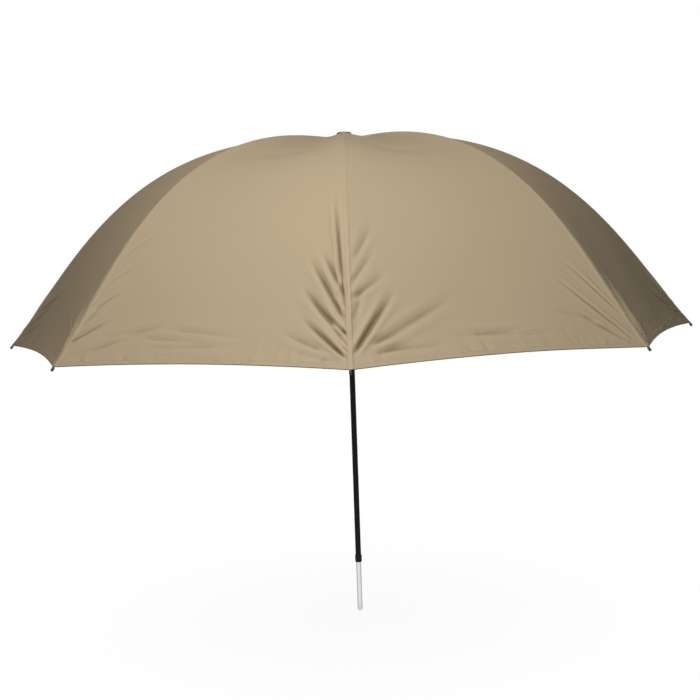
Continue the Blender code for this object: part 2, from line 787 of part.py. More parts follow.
meshes = {
    "rib": rib_mesh(),
    "clip": rib_clip_mesh(),
    "rivet": rivet_mesh(),
    "tip": tip_cap_mesh(),
    "canopy": canopy_mesh(),
    "stretcher": stretcher_mesh(),
}
for n in range(RIBS):
    turn = n * 2 * HALF_PANEL
    pivot = (PIVOT_RADIUS * math.sin(turn), -PIVOT_RADIUS * math.cos(turn), PIVOT_HEIGHT)
    hinge = joint(f"rib_hinge_{n + 1}", mast_slide, pivot, (0, 0, turn))
    piece(f"rib_{n + 1}", meshes["rib"], zinc_steel, hinge)
    piece(
        f"rib_clip_{n + 1}",
        meshes["clip"],
        zinc_steel,
        hinge,
        CLIP_MIDDLE,
        (CLIP_SLOPE, 0, 0),
    )
    piece(f"rivet_{n + 1}", meshes["rivet"], zinc_steel, hinge, RIVET_PLACE, (0, math.pi / 2, 0))
    piece(
        f"tip_cap_{n + 1}",
        meshes["tip"],
        black_plastic,
        hinge,
        rib_point(1.0),
        (math.pi / 2 + TIP_SLOPE, 0, 0),
    )
    piece(f"canopy_{n + 1}", meshes["canopy"], canopy_cloth, hinge)
    arm = joint(f"stretcher_hinge_{n + 1}", hinge, RIVET_PLACE)
    piece(f"stretcher_{n + 1}", meshes["stretcher"], zinc_steel, arm, (0, 0, 0), (-STRETCHER_SLOPE, 0, 0))
    if n == 0:
        runner_pivot = joint("runner_pivot", arm, (0, -RIVET_PLACE.y, RIVET_PLACE.z))

runner_centre = (0, PIVOT_RADIUS, 0)
piece("runner", runner_mesh(), black_plastic, runner_pivot, runner_centre)
piece("runner_ring", ring_mesh, zinc_steel, runner_pivot, runner_centre)
bpy.data.collections.remove(bench)
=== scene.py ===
"""The looks of a large fishing umbrella, put together from its ground spike up to its cloth.

Metres, +Z up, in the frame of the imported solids. Rib 1 points to -Y, towards the camera.
"""

import json
import math

import bmesh
import bpy
import numpy as np
from mathutils import Matrix, Vector


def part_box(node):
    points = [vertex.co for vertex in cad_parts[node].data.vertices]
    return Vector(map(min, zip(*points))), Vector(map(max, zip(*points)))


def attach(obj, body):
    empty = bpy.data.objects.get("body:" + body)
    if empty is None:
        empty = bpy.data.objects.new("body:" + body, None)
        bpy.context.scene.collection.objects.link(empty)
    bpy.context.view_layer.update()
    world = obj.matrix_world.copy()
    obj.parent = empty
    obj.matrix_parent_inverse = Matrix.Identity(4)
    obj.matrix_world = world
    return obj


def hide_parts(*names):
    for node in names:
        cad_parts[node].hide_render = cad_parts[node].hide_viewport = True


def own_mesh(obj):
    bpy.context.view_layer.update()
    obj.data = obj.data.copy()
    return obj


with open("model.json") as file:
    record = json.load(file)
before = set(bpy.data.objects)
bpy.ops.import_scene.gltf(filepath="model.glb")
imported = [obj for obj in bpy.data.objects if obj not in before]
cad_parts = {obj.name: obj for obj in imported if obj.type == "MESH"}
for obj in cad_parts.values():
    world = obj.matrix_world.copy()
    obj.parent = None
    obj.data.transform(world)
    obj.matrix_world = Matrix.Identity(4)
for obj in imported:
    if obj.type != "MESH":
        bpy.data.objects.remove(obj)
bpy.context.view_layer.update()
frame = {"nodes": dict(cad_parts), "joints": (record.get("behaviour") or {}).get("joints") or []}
bpy.context.scene.view_settings.view_transform = "Standard"


# The pole is a plated steel tube whose lower end is drawn in to a rounded point, the ground
# spike. Drawing leaves faint lines along it, and soil dulls its tip.
POLE_SIDES = 64
POLE_WALL = 0.0008
POINT_LENGTH = 0.011
POINT_STEPS = 16
STEEL_COLOR = (0.84, 0.84, 0.82)
STEEL_DULL_COLOR = (0.60, 0.59, 0.57)
DRAWN_LINE_SCALE = (280, 280, 3)
DRAWN_LINE_SHARE = 0.6
SOIL_LINE = 0.05
SOIL_SHARE = 0.55
MERGE_DISTANCE = 0.000002
SMOOTH_ANGLE = math.radians(35)


def add_node(tree, kind, inputs=None, **settings):
    """A new node with its settings, and its inputs given as values or as other nodes' sockets."""
    made = tree.nodes.new(kind)
    for key, value in settings.items():
        setattr(made, key, value)
    for key, value in (inputs or {}).items():
        if isinstance(value, bpy.types.NodeSocket):
            tree.links.new(value, made.inputs[key])
        else:
            made.inputs[key].default_value = value
    return made


def maths(tree, operation, *values):
    """The socket of a sum on numbers or sockets."""
    return add_node(tree, "ShaderNodeMath", dict(enumerate(values)), operation=operation).outputs[0]


def ranged(tree, value, start=0.0, end=1.0, low=0.0, high=1.0, kind="LINEAR"):
    """The socket of a value, with its range from start to end made a range from low to high."""
    inputs = {"Value": value, "From Min": start, "From Max": end, "To Min": low, "To Max": high}
    made = add_node(tree, "ShaderNodeMapRange", inputs, interpolation_type=kind)
    return made.outputs["Result"]


def noise(tree, place, scale=1.0, detail=3.0, roughness=0.5):
    """The socket of a noise pattern."""
    inputs = {"Vector": place, "Scale": scale, "Detail": detail, "Roughness": roughness}
    return add_node(tree, "ShaderNodeTexNoise", inputs).outputs["Fac"]


def object_place(tree):
    """The socket of the place on the piece."""
    return add_node(tree, "ShaderNodeTexCoord").outputs["Object"]


def stretched(tree, place, scale):
    """The socket of a place scaled along each axis."""
    return add_node(
        tree, "ShaderNodeVectorMath", {0: place, 1: scale}, operation="MULTIPLY"
    ).outputs[0]


def mixed(tree, share, first, second):
    """The socket of a colour between two others."""
    inputs = {0: share, 6: first, 7: second}
    return add_node(tree, "ShaderNodeMix", inputs, data_type="RGBA").outputs[2]


def new_group(name, inputs, outputs):
    """A shader node group with these named sockets, and its input and output nodes."""
    tree = bpy.data.node_groups.new(name, "ShaderNodeTree")
    for socket, kind, value in inputs:
        made = tree.interface.new_socket(socket, in_out="INPUT", socket_type=kind)
        made.default_value = value
    for socket, kind in outputs:
        tree.interface.new_socket(socket, in_out="OUTPUT", socket_type=kind)
    return tree, tree.nodes.new("NodeGroupInput"), tree.nodes.new("NodeGroupOutput")


def wear_group():
    """Handling wear: patches and edges with the worn colour and roughness."""
    tree, given, result = new_group(
        "handling_wear",
        [
            ("Color", "NodeSocketColor", (0.5, 0.5, 0.5, 1)),
            ("Worn Color", "NodeSocketColor", (0.4, 0.4, 0.4, 1)),
            ("Roughness", "NodeSocketFloat", 0.4),
            ("Worn Roughness", "NodeSocketFloat", 0.55),
            ("Patch Scale", "NodeSocketFloat", 30.0),
            ("Edge Wear", "NodeSocketFloat", 0.5),
        ],
        [("Color", "NodeSocketColor"), ("Roughness", "NodeSocketFloat")],
    )
    own = given.outputs
    clouds = noise(tree, object_place(tree), own["Patch Scale"], detail=6.0, roughness=0.6)
    patches = ranged(tree, clouds, start=0.48, end=0.72)
    pointed = add_node(tree, "ShaderNodeNewGeometry").outputs["Pointiness"]
    edges = maths(tree, "MULTIPLY", ranged(tree, pointed, start=0.52, end=0.6), own["Edge Wear"])
    mask = maths(tree, "MAXIMUM", patches, edges)
    color = mixed(tree, mask, own["Color"], own["Worn Color"])
    rough = ranged(tree, mask, low=own["Roughness"], high=own["Worn Roughness"])
    tree.links.new(color, result.inputs["Color"])
    tree.links.new(rough, result.inputs["Roughness"])
    return tree


def grain_group():
    """Fine grain as a bump, stretched along one way where its scale says so."""
    tree, given, result = new_group(
        "surface_grain",
        [
            ("Grain Scale", "NodeSocketVector", (900.0, 900.0, 900.0)),
            ("Depth", "NodeSocketFloat", 0.0001),
            ("Strength", "NodeSocketFloat", 0.3),
        ],
        [("Normal", "NodeSocketVector")],
    )
    own = given.outputs
    bump = add_node(
        tree,
        "ShaderNodeBump",
        {
            "Height": noise(tree, stretched(tree, object_place(tree), own["Grain Scale"])),
            "Distance": own["Depth"],
            "Strength": own["Strength"],
        },
    )
    tree.links.new(bump.outputs["Normal"], result.inputs["Normal"])
    return tree


handling_wear = wear_group()
surface_grain = grain_group()


def finish_of(
    name, color, worn_color, roughness, worn_roughness, patch_scale, edge_wear, grain, depth,
    metallic=0.0, specular=0.5,
):
    """A material with handling wear and grain."""
    material = bpy.data.materials.new(name)
    material.use_nodes = True
    tree = material.node_tree
    shader = tree.nodes["Principled BSDF"]
    wear = add_node(
        tree,
        "ShaderNodeGroup",
        {
            "Color": (*color, 1),
            "Worn Color": (*worn_color, 1),
            "Roughness": roughness,
            "Worn Roughness": worn_roughness,
            "Patch Scale": patch_scale,
            "Edge Wear": edge_wear,
        },
        node_tree=handling_wear,
    )
    fine = add_node(
        tree, "ShaderNodeGroup", {"Grain Scale": grain, "Depth": depth}, node_tree=surface_grain
    )
    tree.links.new(wear.outputs["Color"], shader.inputs["Base Color"])
    tree.links.new(wear.outputs["Roughness"], shader.inputs["Roughness"])
    tree.links.new(fine.outputs["Normal"], shader.inputs["Normal"])
    shader.inputs["Metallic"].default_value = metallic
    shader.inputs["Specular IOR Level"].default_value = specular
    return material


def soiled_steel():
    """Bright plated steel, duller in its drawn lines and towards its tip."""
    material = finish_of(
        "bright_steel", STEEL_COLOR, STEEL_DULL_COLOR, roughness=0.24, worn_roughness=0.32,
        patch_scale=9.0, edge_wear=0.2, grain=(2500, 2500, 60), depth=0.00001, metallic=1.0,
    )
    tree = material.node_tree
    place = object_place(tree)
    height = add_node(tree, "ShaderNodeSeparateXYZ", {0: place}).outputs["Z"]
    lines = noise(tree, stretched(tree, place, DRAWN_LINE_SCALE))
    drawn = ranged(tree, lines, start=0.4, end=0.75, high=DRAWN_LINE_SHARE)
    soil = ranged(tree, height, end=SOIL_LINE, low=SOIL_SHARE, high=0.0)
    base = tree.nodes["Principled BSDF"].inputs["Base Color"]
    color = base.links[0].from_socket
    for share in (drawn, soil):
        color = mixed(tree, share, color, (*STEEL_DULL_COLOR, 1))
    tree.links.new(color, base)
    return material


def placed(name, data):
    """A new object in the scene."""
    item = bpy.data.objects.new(name, data)
    bpy.context.scene.collection.objects.link(item)
    return item


def mesh_piece(name, mesh, material, angle=SMOOTH_ANGLE):
    """A shown piece from a mesh, smooth but for its real edges."""
    mesh.shade_smooth()
    mesh.set_sharp_from_angle(angle=angle)
    mesh.materials.clear()
    mesh.materials.append(material)
    return placed(name, mesh)


def stands_for(item, node, body):
    """Shows a piece in place of a solid, moving with a body."""
    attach(item, body)
    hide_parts(node)


def mesh_of(work, name):
    """A mesh of what was worked, which then goes."""
    mesh = bpy.data.meshes.new(name)
    work.to_mesh(mesh)
    work.free()
    return mesh


def ringed(rings, looped):
    """A mesh between rings about Z of (radius, height) points, closed on itself if looped."""
    work = bmesh.new()
    turns = [math.tau * k / len(rings[0]) for k in range(len(rings[0]))]
    made = [
        [
            work.verts.new((radius * math.cos(turn), radius * math.sin(turn), height))
            for turn, (radius, height) in zip(turns, ring)
        ]
        for ring in rings
    ]
    for a, b in zip(made, made[1:] + made[:1] if looped else made[1:]):
        for k in range(len(turns)):
            work.faces.new((a[k - 1], a[k], b[k], b[k - 1]))
    bmesh.ops.remove_doubles(work, verts=work.verts, dist=MERGE_DISTANCE)
    bmesh.ops.recalc_face_normals(work, faces=work.faces)
    return mesh_of(work, "ringed")


def turned(profile, sides, looped=False):
    """A mesh turned about Z from (radius, height) points, closed on itself if looped."""
    return ringed([[point] * sides for point in profile], looped)


def arc(centre, radii, start, end, steps):
    """Points on an elliptic arc in a profile, with angles above level in degrees."""
    angles = [math.radians(start + (end - start) * i / steps) for i in range(steps + 1)]
    return [
        (centre[0] + radii[0] * math.cos(angle), centre[1] + radii[1] * math.sin(angle))
        for angle in angles
    ]


pole_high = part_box("spike_pole")[1]
pole_radius = pole_high.x
pole_bore = pole_radius - POLE_WALL
bright_steel = soiled_steel()
pole = mesh_piece(
    "ground_pole",
    turned(
        [(0.0, POINT_LENGTH), (pole_bore, POINT_LENGTH + pole_bore / 2), (pole_bore, pole_high.z)]
        + [(pole_radius, pole_high.z)]
        + arc((0.0, POINT_LENGTH), (pole_radius, POINT_LENGTH), 0, -90, POINT_STEPS),
        POLE_SIDES,
    ),
    bright_steel,
)
stands_for(pole, "spike_pole", "root")


# The bush is a moulded plastic plug in the pole's top end. It runs inside the mast and stops
# at the mast's crimp, so only its head would show, if the mast were off.
PLASTIC_COLOR = (0.011, 0.011, 0.011)
PLASTIC_WORN_COLOR = (0.030, 0.030, 0.029)
SOLID_MERGE_DISTANCE = 0.000003
FLAT_ANGLE = math.radians(1)
ROUNDED_ANGLE = math.radians(40)
ROUNDED_STEPS = 2

black_plastic = finish_of(
    "black_plastic", PLASTIC_COLOR, PLASTIC_WORN_COLOR, roughness=0.42, worn_roughness=0.6,
    patch_scale=60.0, edge_wear=0.35, grain=(1500, 1500, 1500), depth=0.00006, specular=0.2,
)


def plain_mesh(item):
    """The mesh that an object's modifiers make of it. The object then goes."""
    bpy.context.view_layer.update()
    made = item.evaluated_get(bpy.context.evaluated_depsgraph_get())
    result = bpy.data.meshes.new_from_object(made)
    bpy.data.objects.remove(item)
    return result


def softened(node, width):
    """A mesh like a solid's, its flat facets joined and its edges rounded by that width."""
    mesh = frame["nodes"][node].data.copy()
    work = bmesh.new()
    work.from_mesh(mesh)
    bmesh.ops.remove_doubles(work, verts=work.verts, dist=SOLID_MERGE_DISTANCE)
    bmesh.ops.dissolve_limit(
        work, angle_limit=FLAT_ANGLE, verts=work.verts, edges=work.edges,
        use_dissolve_boundaries=False,
    )
    work.to_mesh(mesh)
    work.free()
    item = placed("softened", mesh)
    edge = item.modifiers.new("rounded_edges", "BEVEL")
    edge.width = width
    edge.segments = ROUNDED_STEPS
    edge.limit_method = "ANGLE"
    edge.angle_limit = ROUNDED_ANGLE
    edge.use_clamp_overlap = True
    return plain_mesh(item)


def softened_piece(name, node, body, material, width):
    """A rounded copy that stands for a solid and moves with its body."""
    stands_for(mesh_piece(name, softened(node, width), material), node, body)


softened_piece("pole_top_bush", "pole_bush", "root", black_plastic, width=0.0004)


# The mast is a thin steel tube stoved black. A crimp rolled into it stops the pole's bush, and
# a slot milled in its front lets the runner's catch through. Its paint has a faint orange peel.
MAST_SIDES = 64
MAST_WALL = 0.0007
CRIMP_DEPTH = 0.0009
CRIMP_HEIGHT = 0.006
CRIMP_STEPS = 12
CATCH_SLOT_GAP = 0.0003
PAINT_COLOR = (0.006, 0.006, 0.0065)
PAINT_WORN_COLOR = (0.015, 0.015, 0.0155)

black_paint = finish_of(
    "black_paint", PAINT_COLOR, PAINT_WORN_COLOR, roughness=0.32, worn_roughness=0.5,
    patch_scale=25.0, edge_wear=0.3, grain=(350, 350, 220), depth=0.00008, specular=0.14,
)

mast_low, mast_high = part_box("mast_tube")
mast_radius = mast_high.x
mast_bore = mast_radius - MAST_WALL
crimp_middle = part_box("pole_bush")[1].z + CRIMP_HEIGHT / 2


def crimp_line(radius, upwards):
    """The tube's wall through the crimp, as profile points."""
    points = []
    for i in range(CRIMP_STEPS + 1):
        share = i / CRIMP_STEPS
        depth = CRIMP_DEPTH * math.sin(math.pi * share) ** 2
        height = crimp_middle + CRIMP_HEIGHT * (share - 0.5) * (1 if upwards else -1)
        points.append((radius - depth, height))
    return points


def cut(mesh, cutter_mesh):
    """The mesh cut by another."""
    item = placed("cut", mesh)
    cutter = placed("cutter", cutter_mesh)
    change = item.modifiers.new("cut", "BOOLEAN")
    change.object = cutter
    result = plain_mesh(item)
    bpy.data.objects.remove(cutter)
    return result


def box_mesh(low, high):
    """A box between two corners."""
    low, high = Vector(low), Vector(high)
    work = bmesh.new()
    place = Matrix.Translation((low + high) / 2) @ Matrix.Diagonal((*(high - low), 1.0))
    bmesh.ops.create_cube(work, size=1.0, matrix=place)
    return mesh_of(work, "box")


catch_low, catch_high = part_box("runner_catch")
slot_half = catch_high.x + CATCH_SLOT_GAP
mast = mesh_piece(
    "black_mast",
    cut(
        turned(
            [(mast_radius, mast_high.z), *crimp_line(mast_radius, False), (mast_radius, mast_low.z)]
            + [(mast_bore, mast_low.z), *crimp_line(mast_bore, True), (mast_bore, mast_high.z)],
            MAST_SIDES,
            looped=True,
        ),
        box_mesh(
            (-slot_half, -2 * mast_radius, catch_low.z - CATCH_SLOT_GAP),
            (slot_half, -mast_bore / 2, catch_high.z + CATCH_SLOT_GAP),
        ),
    ),
    black_paint,
)
stands_for(mast, "mast_tube", "mast")


# The twist lock at the mast's foot is a fluted plastic collar over a split nylon ring. Turning
# the collar squeezes the ring on to the pole. Only the ring's lower face shows, from below.
NYLON_COLOR = (0.70, 0.68, 0.62)
NYLON_WORN_COLOR = (0.45, 0.43, 0.38)
COLLAR_SIDES = 160
COLLAR_ROWS = 40
COLLAR_WALL = 0.0012
COLLAR_BULGE = 0.0006
COLLAR_FOOT_WALL = 0.0012
COLLAR_FLUTES = 10
FLUTE_DEPTH = 0.0007
FLUTE_SHARPNESS = 6
FLUTE_START = 0.2
FLUTE_FADE = 0.125
SHOULDER_POWER = 0.35
COLLAR_LIP = 0.0025
COLLAR_GAP = 0.0003
LIP_GAP = 0.0004

pale_nylon = finish_of(
    "pale_nylon", NYLON_COLOR, NYLON_WORN_COLOR, roughness=0.4, worn_roughness=0.6,
    patch_scale=80.0, edge_wear=0.2, grain=(1200, 1200, 1200), depth=0.00005,
)
softened_piece("lock_ring", "lock_collet", "mast", pale_nylon, width=0.0002)

collar_low, collar_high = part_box("lock_collar")
collar_length = collar_high.z - collar_low.z
collar_bore = mast_radius + COLLAR_GAP
lip_bore = pole_radius + LIP_GAP
collar_foot = lip_bore + COLLAR_FOOT_WALL
collar_widest = collar_bore + COLLAR_WALL + COLLAR_BULGE


def collar_radius(share):
    """The collar's outer radius at that share of its height, between its flutes."""
    if share < 0.5:
        swell = math.sqrt(1 - (1 - 2 * share) ** 2)
        return collar_foot + (collar_widest - collar_foot) * swell
    swell = math.sin(math.pi * share) ** SHOULDER_POWER if share < 1 else 0.0
    return collar_widest - 2 * COLLAR_BULGE * (1 - swell)


def collar_mesh():
    """The collar's outer wall with its flutes, closed by its bore and its inner lip."""
    lip_top = collar_low.z + COLLAR_LIP
    inner = [(collar_bore, collar_high.z), (collar_bore, lip_top)]
    inner += [(lip_bore, lip_top), (lip_bore, collar_low.z)]
    rings = [[point] * COLLAR_SIDES for point in inner]
    for i in range(COLLAR_ROWS + 1):
        share = i / COLLAR_ROWS
        from_end = 0.5 - abs(share - 0.5)
        depth = FLUTE_DEPTH * min(1.0, max(0.0, (from_end - FLUTE_START) / FLUTE_FADE))
        ring = []
        for k in range(COLLAR_SIDES):
            wave = 0.5 + 0.5 * math.cos(math.tau * COLLAR_FLUTES * k / COLLAR_SIDES)
            radius = collar_radius(share) - depth * wave**FLUTE_SHARPNESS
            ring.append((radius, collar_low.z + collar_length * share))
        rings.append(ring)
    return ringed(rings, looped=True)


collar = mesh_piece("fluted_collar", collar_mesh(), black_plastic)
stands_for(collar, "lock_collar", "collar")


# The crown is a slotted plastic hub pushed on to the mast's top. The ribs' eyes hang on a steel
# wire ring in its groove, and a domed cap plugged into the hub keeps the ring in.
ZINC_COLOR = (0.42, 0.43, 0.43)
ZINC_DULL_COLOR = (0.25, 0.255, 0.26)
RING_SIDES = 96
WIRE_SIDES = 16
WIRE_RADIUS = 0.001

zinc_steel = finish_of(
    "zinc_steel", ZINC_COLOR, ZINC_DULL_COLOR, roughness=0.36, worn_roughness=0.55,
    patch_scale=70.0, edge_wear=0.4, grain=(1800, 1800, 1800), depth=0.00004, metallic=1.0,
)

softened_piece("slotted_hub", "crown_hub", "mast", black_plastic, width=0.0003)
softened_piece("domed_cap", "crown_cap", "mast", black_plastic, width=0.0004)


def wire_ring(name, node, body):
    """A round wire ring in place of the solid's faceted one."""
    low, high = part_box(node)
    centre = (high.x - low.x) / 2 - WIRE_RADIUS
    level = (low.z + high.z) / 2
    wire = [
        (centre + WIRE_RADIUS * math.cos(a), level + WIRE_RADIUS * math.sin(a))
        for a in [-math.tau * i / WIRE_SIDES for i in range(WIRE_SIDES)]
    ]
    item = mesh_piece(name, turned(wire, RING_SIDES, looped=True), zinc_steel)
    stands_for(item, node, body)


wire_ring("crown_wire", "crown_ring", "mast")


# The runner slides on the mast. It is moulded like the crown, with slots and a wire ring for
# the stretchers' eyes, and ends in a flared grip. A spring leaf in the mast holds it up.
softened_piece(
    "slotted_runner", "runner", "runner_body", black_plastic, width=0.0003
)
wire_ring("runner_wire", "runner_ring", "runner_body")
softened_piece("catch_leaf", "runner_catch", "catch", zinc_steel, width=0.0003)


# The ribs are round steel rods, zinc plated, bent to the canopy's line, with flattened eyes at
# the crown. Their slope below level changes along a smooth curve from the crown to the tip.
RIBS = 8
RIB_LENGTH = 1.320
RIB_SLOPES = (-6.0, 18.3, 46.7, 48.8)
RIB_STEPS = 240
ROD_RADIUS = 0.0025
ROD_SIDES = 14
ROD_POINTS = 80
ROD_IN_CAP = 0.007
EYE_REACH = 0.014
EYE_OVERLAP = 0.85
EYE_ROUNDING = 0.0004
HALF_PANEL = math.pi / RIBS

pivot = Vector(
    next(joint["pos_m"] for joint in frame["joints"] if joint["name"] == "rib_fold_1")
)
pivot_radius = -pivot.y

slope_curve = np.poly1d(
    np.polyfit(np.linspace(0, 1, len(RIB_SLOPES)), np.radians(RIB_SLOPES), len(RIB_SLOPES) - 1)
)
step_middles = (np.arange(RIB_STEPS) + 0.5) / RIB_STEPS
step_length = RIB_LENGTH / RIB_STEPS
line_share = np.linspace(0, 1, RIB_STEPS + 1)
line_out = np.concatenate([[0], np.cumsum(np.cos(slope_curve(step_middles)) * step_length)])
line_up = np.concatenate([[0], -np.cumsum(np.sin(slope_curve(step_middles)) * step_length)])


def rib_line(share, lift=0.0):
    """Distances outwards and upwards from the rib's pivot, lifted square to the rib."""
    slope = slope_curve(share)
    out = np.interp(share, line_share, line_out) + lift * np.sin(slope)
    up = np.interp(share, line_share, line_up) + lift * np.cos(slope)
    return out, up


def rib_turn(n):
    """The angle about the mast from rib 1 to rib n."""
    return (n - 1) * 2 * HALF_PANEL


def turned_to_rib(x, y, z, n):
    """Points in rib 1's place, turned about the mast to rib n."""
    cos, sin = math.cos(rib_turn(n)), math.sin(rib_turn(n))
    return np.stack([x * cos - y * sin, x * sin + y * cos, z], axis=-1)


def geometry_tree(name, sizes):
    """A geometry node tree with these named inputs, its input node, and a function that ends it."""
    tree = bpy.data.node_groups.new(name, "GeometryNodeTree")
    tree.interface.new_socket("Geometry", in_out="INPUT", socket_type="NodeSocketGeometry")
    for socket, value in sizes:
        kind = "NodeSocketInt" if isinstance(value, int) else "NodeSocketFloat"
        made = tree.interface.new_socket(socket, in_out="INPUT", socket_type=kind)
        made.default_value = value
    tree.interface.new_socket("Material", in_out="INPUT", socket_type="NodeSocketMaterial")
    tree.interface.new_socket("Geometry", in_out="OUTPUT", socket_type="NodeSocketGeometry")
    given = tree.nodes.new("NodeGroupInput")

    def end(geometry):
        real = add_node(tree, "GeometryNodeRealizeInstances", {"Geometry": geometry})
        smooth = add_node(tree, "GeometryNodeSetShadeSmooth", {"Geometry": real.outputs[0]})
        painted = add_node(
            tree,
            "GeometryNodeSetMaterial",
            {"Geometry": smooth.outputs[0], "Material": given.outputs["Material"]},
        )
        result = tree.nodes.new("NodeGroupOutput")
        tree.links.new(painted.outputs[0], result.inputs[0])

    return tree, given, end


def rod_tree():
    """A round rod with closed ends along a line of edges."""
    tree, given, end = geometry_tree(
        "rod_along_line", [("Radius", ROD_RADIUS), ("Sides", ROD_SIDES)]
    )
    line = add_node(tree, "GeometryNodeMeshToCurve", {"Mesh": given.outputs["Geometry"]})
    ring = add_node(
        tree,
        "GeometryNodeCurvePrimitiveCircle",
        {"Resolution": given.outputs["Sides"], "Radius": given.outputs["Radius"]},
    )
    rod = add_node(
        tree,
        "GeometryNodeCurveToMesh",
        {"Curve": line.outputs[0], "Profile Curve": ring.outputs[0], "Fill Caps": True},
    )
    end(rod.outputs[0])
    return tree


def grown(name, lines, tree, material):
    """A plain mesh that the tree grows from lines of points, each line a run of edges."""
    points, edges = [], []
    for line in lines:
        edges += [(len(points) + i, len(points) + i + 1) for i in range(len(line) - 1)]
        points += [tuple(point) for point in line]
    mesh = bpy.data.meshes.new(name + "_line")
    mesh.from_pydata(points, edges, [])
    item = placed(name + "_line", mesh)
    change = item.modifiers.new("grow", "NODES")
    change.node_group = tree
    change[tree.interface.items_tree["Material"].identifier] = material
    result = plain_mesh(item)
    result.name = name
    return result


rod_along_line = rod_tree()


def joined(first, second):
    """One mesh that holds both."""
    work = bmesh.new()
    work.from_mesh(first)
    work.from_mesh(second)
    return mesh_of(work, "joined")


def eye_mesh(n):
    """The rib's flattened eye, cut from the solid rib's crown end and rounded."""
    mesh = softened(f"rib_{n}", EYE_ROUNDING)
    work = bmesh.new()
    work.from_mesh(mesh)
    outwards = Vector((math.sin(rib_turn(n)), -math.cos(rib_turn(n)), 0))
    bmesh.ops.bisect_plane(
        work,
        geom=work.verts[:] + work.edges[:] + work.faces[:],
        plane_co=outwards * (pivot_radius + EYE_REACH),
        plane_no=outwards,
        clear_outer=True,
    )
    bmesh.ops.holes_fill(work, edges=[edge for edge in work.edges if edge.is_boundary])
    bmesh.ops.recalc_face_normals(work, faces=work.faces)
    work.to_mesh(mesh)
    work.free()
    return mesh


def rod_line(n):
    """The middle of rib n's rod, from inside its eye to inside its tip cap."""
    out, up = rib_line(np.linspace(EYE_REACH / RIB_LENGTH * EYE_OVERLAP, 1, ROD_POINTS))
    last_slope = slope_curve(1.0)
    out = np.append(out, out[-1] + ROD_IN_CAP * math.cos(last_slope))
    up = np.append(up, up[-1] - ROD_IN_CAP * math.sin(last_slope))
    return turned_to_rib(np.zeros_like(out), -(pivot_radius + out), pivot.z + up, n)


for n in range(1, RIBS + 1):
    rod = grown(f"rod_{n}", [rod_line(n)], rod_along_line, zinc_steel)
    rib = mesh_piece(f"steel_rib_{n}", joined(rod, eye_mesh(n)), zinc_steel)
    stands_for(rib, f"rib_{n}", f"rib_arm_{n}")


# The stretchers are steel channels, forked at the rib and flattened to an eye at the runner.
# Each swings on a rivet through the ear of a pressed clip, which is crimped under its rib.
for n in range(1, RIBS + 1):
    for name, node, body in (
        ("rib_saddle", "rib_clip", "rib_arm"),
        ("pivot_rivet", "rivet", "rib_arm"),
        ("channel_arm", "stretcher", "stretcher_arm"),
    ):
        softened_piece(
            f"{name}_{n}", f"{node}_{n}", f"{body}_{n}", zinc_steel, width=0.0003
        )


# The tips of the ribs carry small moulded caps with a rounded nose, in a dark olive plastic.
# They keep the rods from wearing through the corners of the cloth.
TIP_COLOR = (0.026, 0.029, 0.019)
TIP_WORN_COLOR = (0.05, 0.053, 0.04)

tip_plastic = finish_of(
    "tip_plastic", TIP_COLOR, TIP_WORN_COLOR, roughness=0.45, worn_roughness=0.6,
    patch_scale=90.0, edge_wear=0.4, grain=(1500, 1500, 1500), depth=0.00006, specular=0.25,
)
for n in range(1, RIBS + 1):
    softened_piece(
        f"tip_end_{n}", f"tip_cap_{n}", f"rib_arm_{n}", tip_plastic, width=0.0003
    )


# The cover is thin proofed cloth, cut as eight gores that are seamed on the ribs. It is one
# smooth skin from rib to rib, and each strip here is the cloth on one rib, to the middle of its
# panels, so that it folds with that rib. The cloth is pulled into folds at the ribs' lower ends.
CLOTH = 0.0009
CLOTH_LIFT = 0.0028
CLOTH_COLOR = (0.44, 0.35, 0.226)
CLOTH_SHADE_COLOR = (0.37, 0.29, 0.18)
FOLD_PAINTED_SHADE_COLOR = (0.16, 0.115, 0.06)
CLOTH_INSIDE_COLOR = (0.42, 0.355, 0.25)
HEM_CLOTH = 0.0021
HEM_WIDTH = 0.016
HEM_STEP = 0.001
HEM_RISE = 0.019
# The hem's lowest row of outer face and its edge are a dark grey brown: painted shade under the
# hem's fold.
HEM_EDGE_SHADE_COLOR = (0.20, 0.175, 0.135)
SAG_SHARE = 0.0105
CROWN_HOLLOW = 0.018
HOLLOW_END_SHARE = 0.5
FIRST_STATION = 0.0094
SEAM_HALF = 0.0052
SEAM_SPREAD = 0.0027
SEAM_HEIGHT = 0.0017
SEAM_CROWN_SHARE = 0.2
SEAM_FADE = (0.25, 0.60)
THREAD_PITCH = 0.0007
WEAVE_DEPTH = 0.00012
SLUB_SCALE = 420.0
SLUB_SHADE = 0.3
CLOUD_SCALE = 5.0
CLOUD_SHADE = 0.14
# In the bottoms of folds and puckers the cloth's colour goes towards a dark brown: painted shade.
FOLD_PAINTED_SHADE_START = -0.0006
FOLD_PAINTED_SHADE_END = -0.0046
FOLD_PAINTED_SHADE_SHARE = 0.8

# A strip's mesh has more columns near its rib and more rows near its hem, where the folds are.
SIDE_COLUMNS = 96
COLUMN_POWER = 1.55
CLOTH_ROWS = 236
ROW_EVENNESS = 0.26
SKIN_STEP = 0.0005
CREASE_ANGLE = math.radians(50)

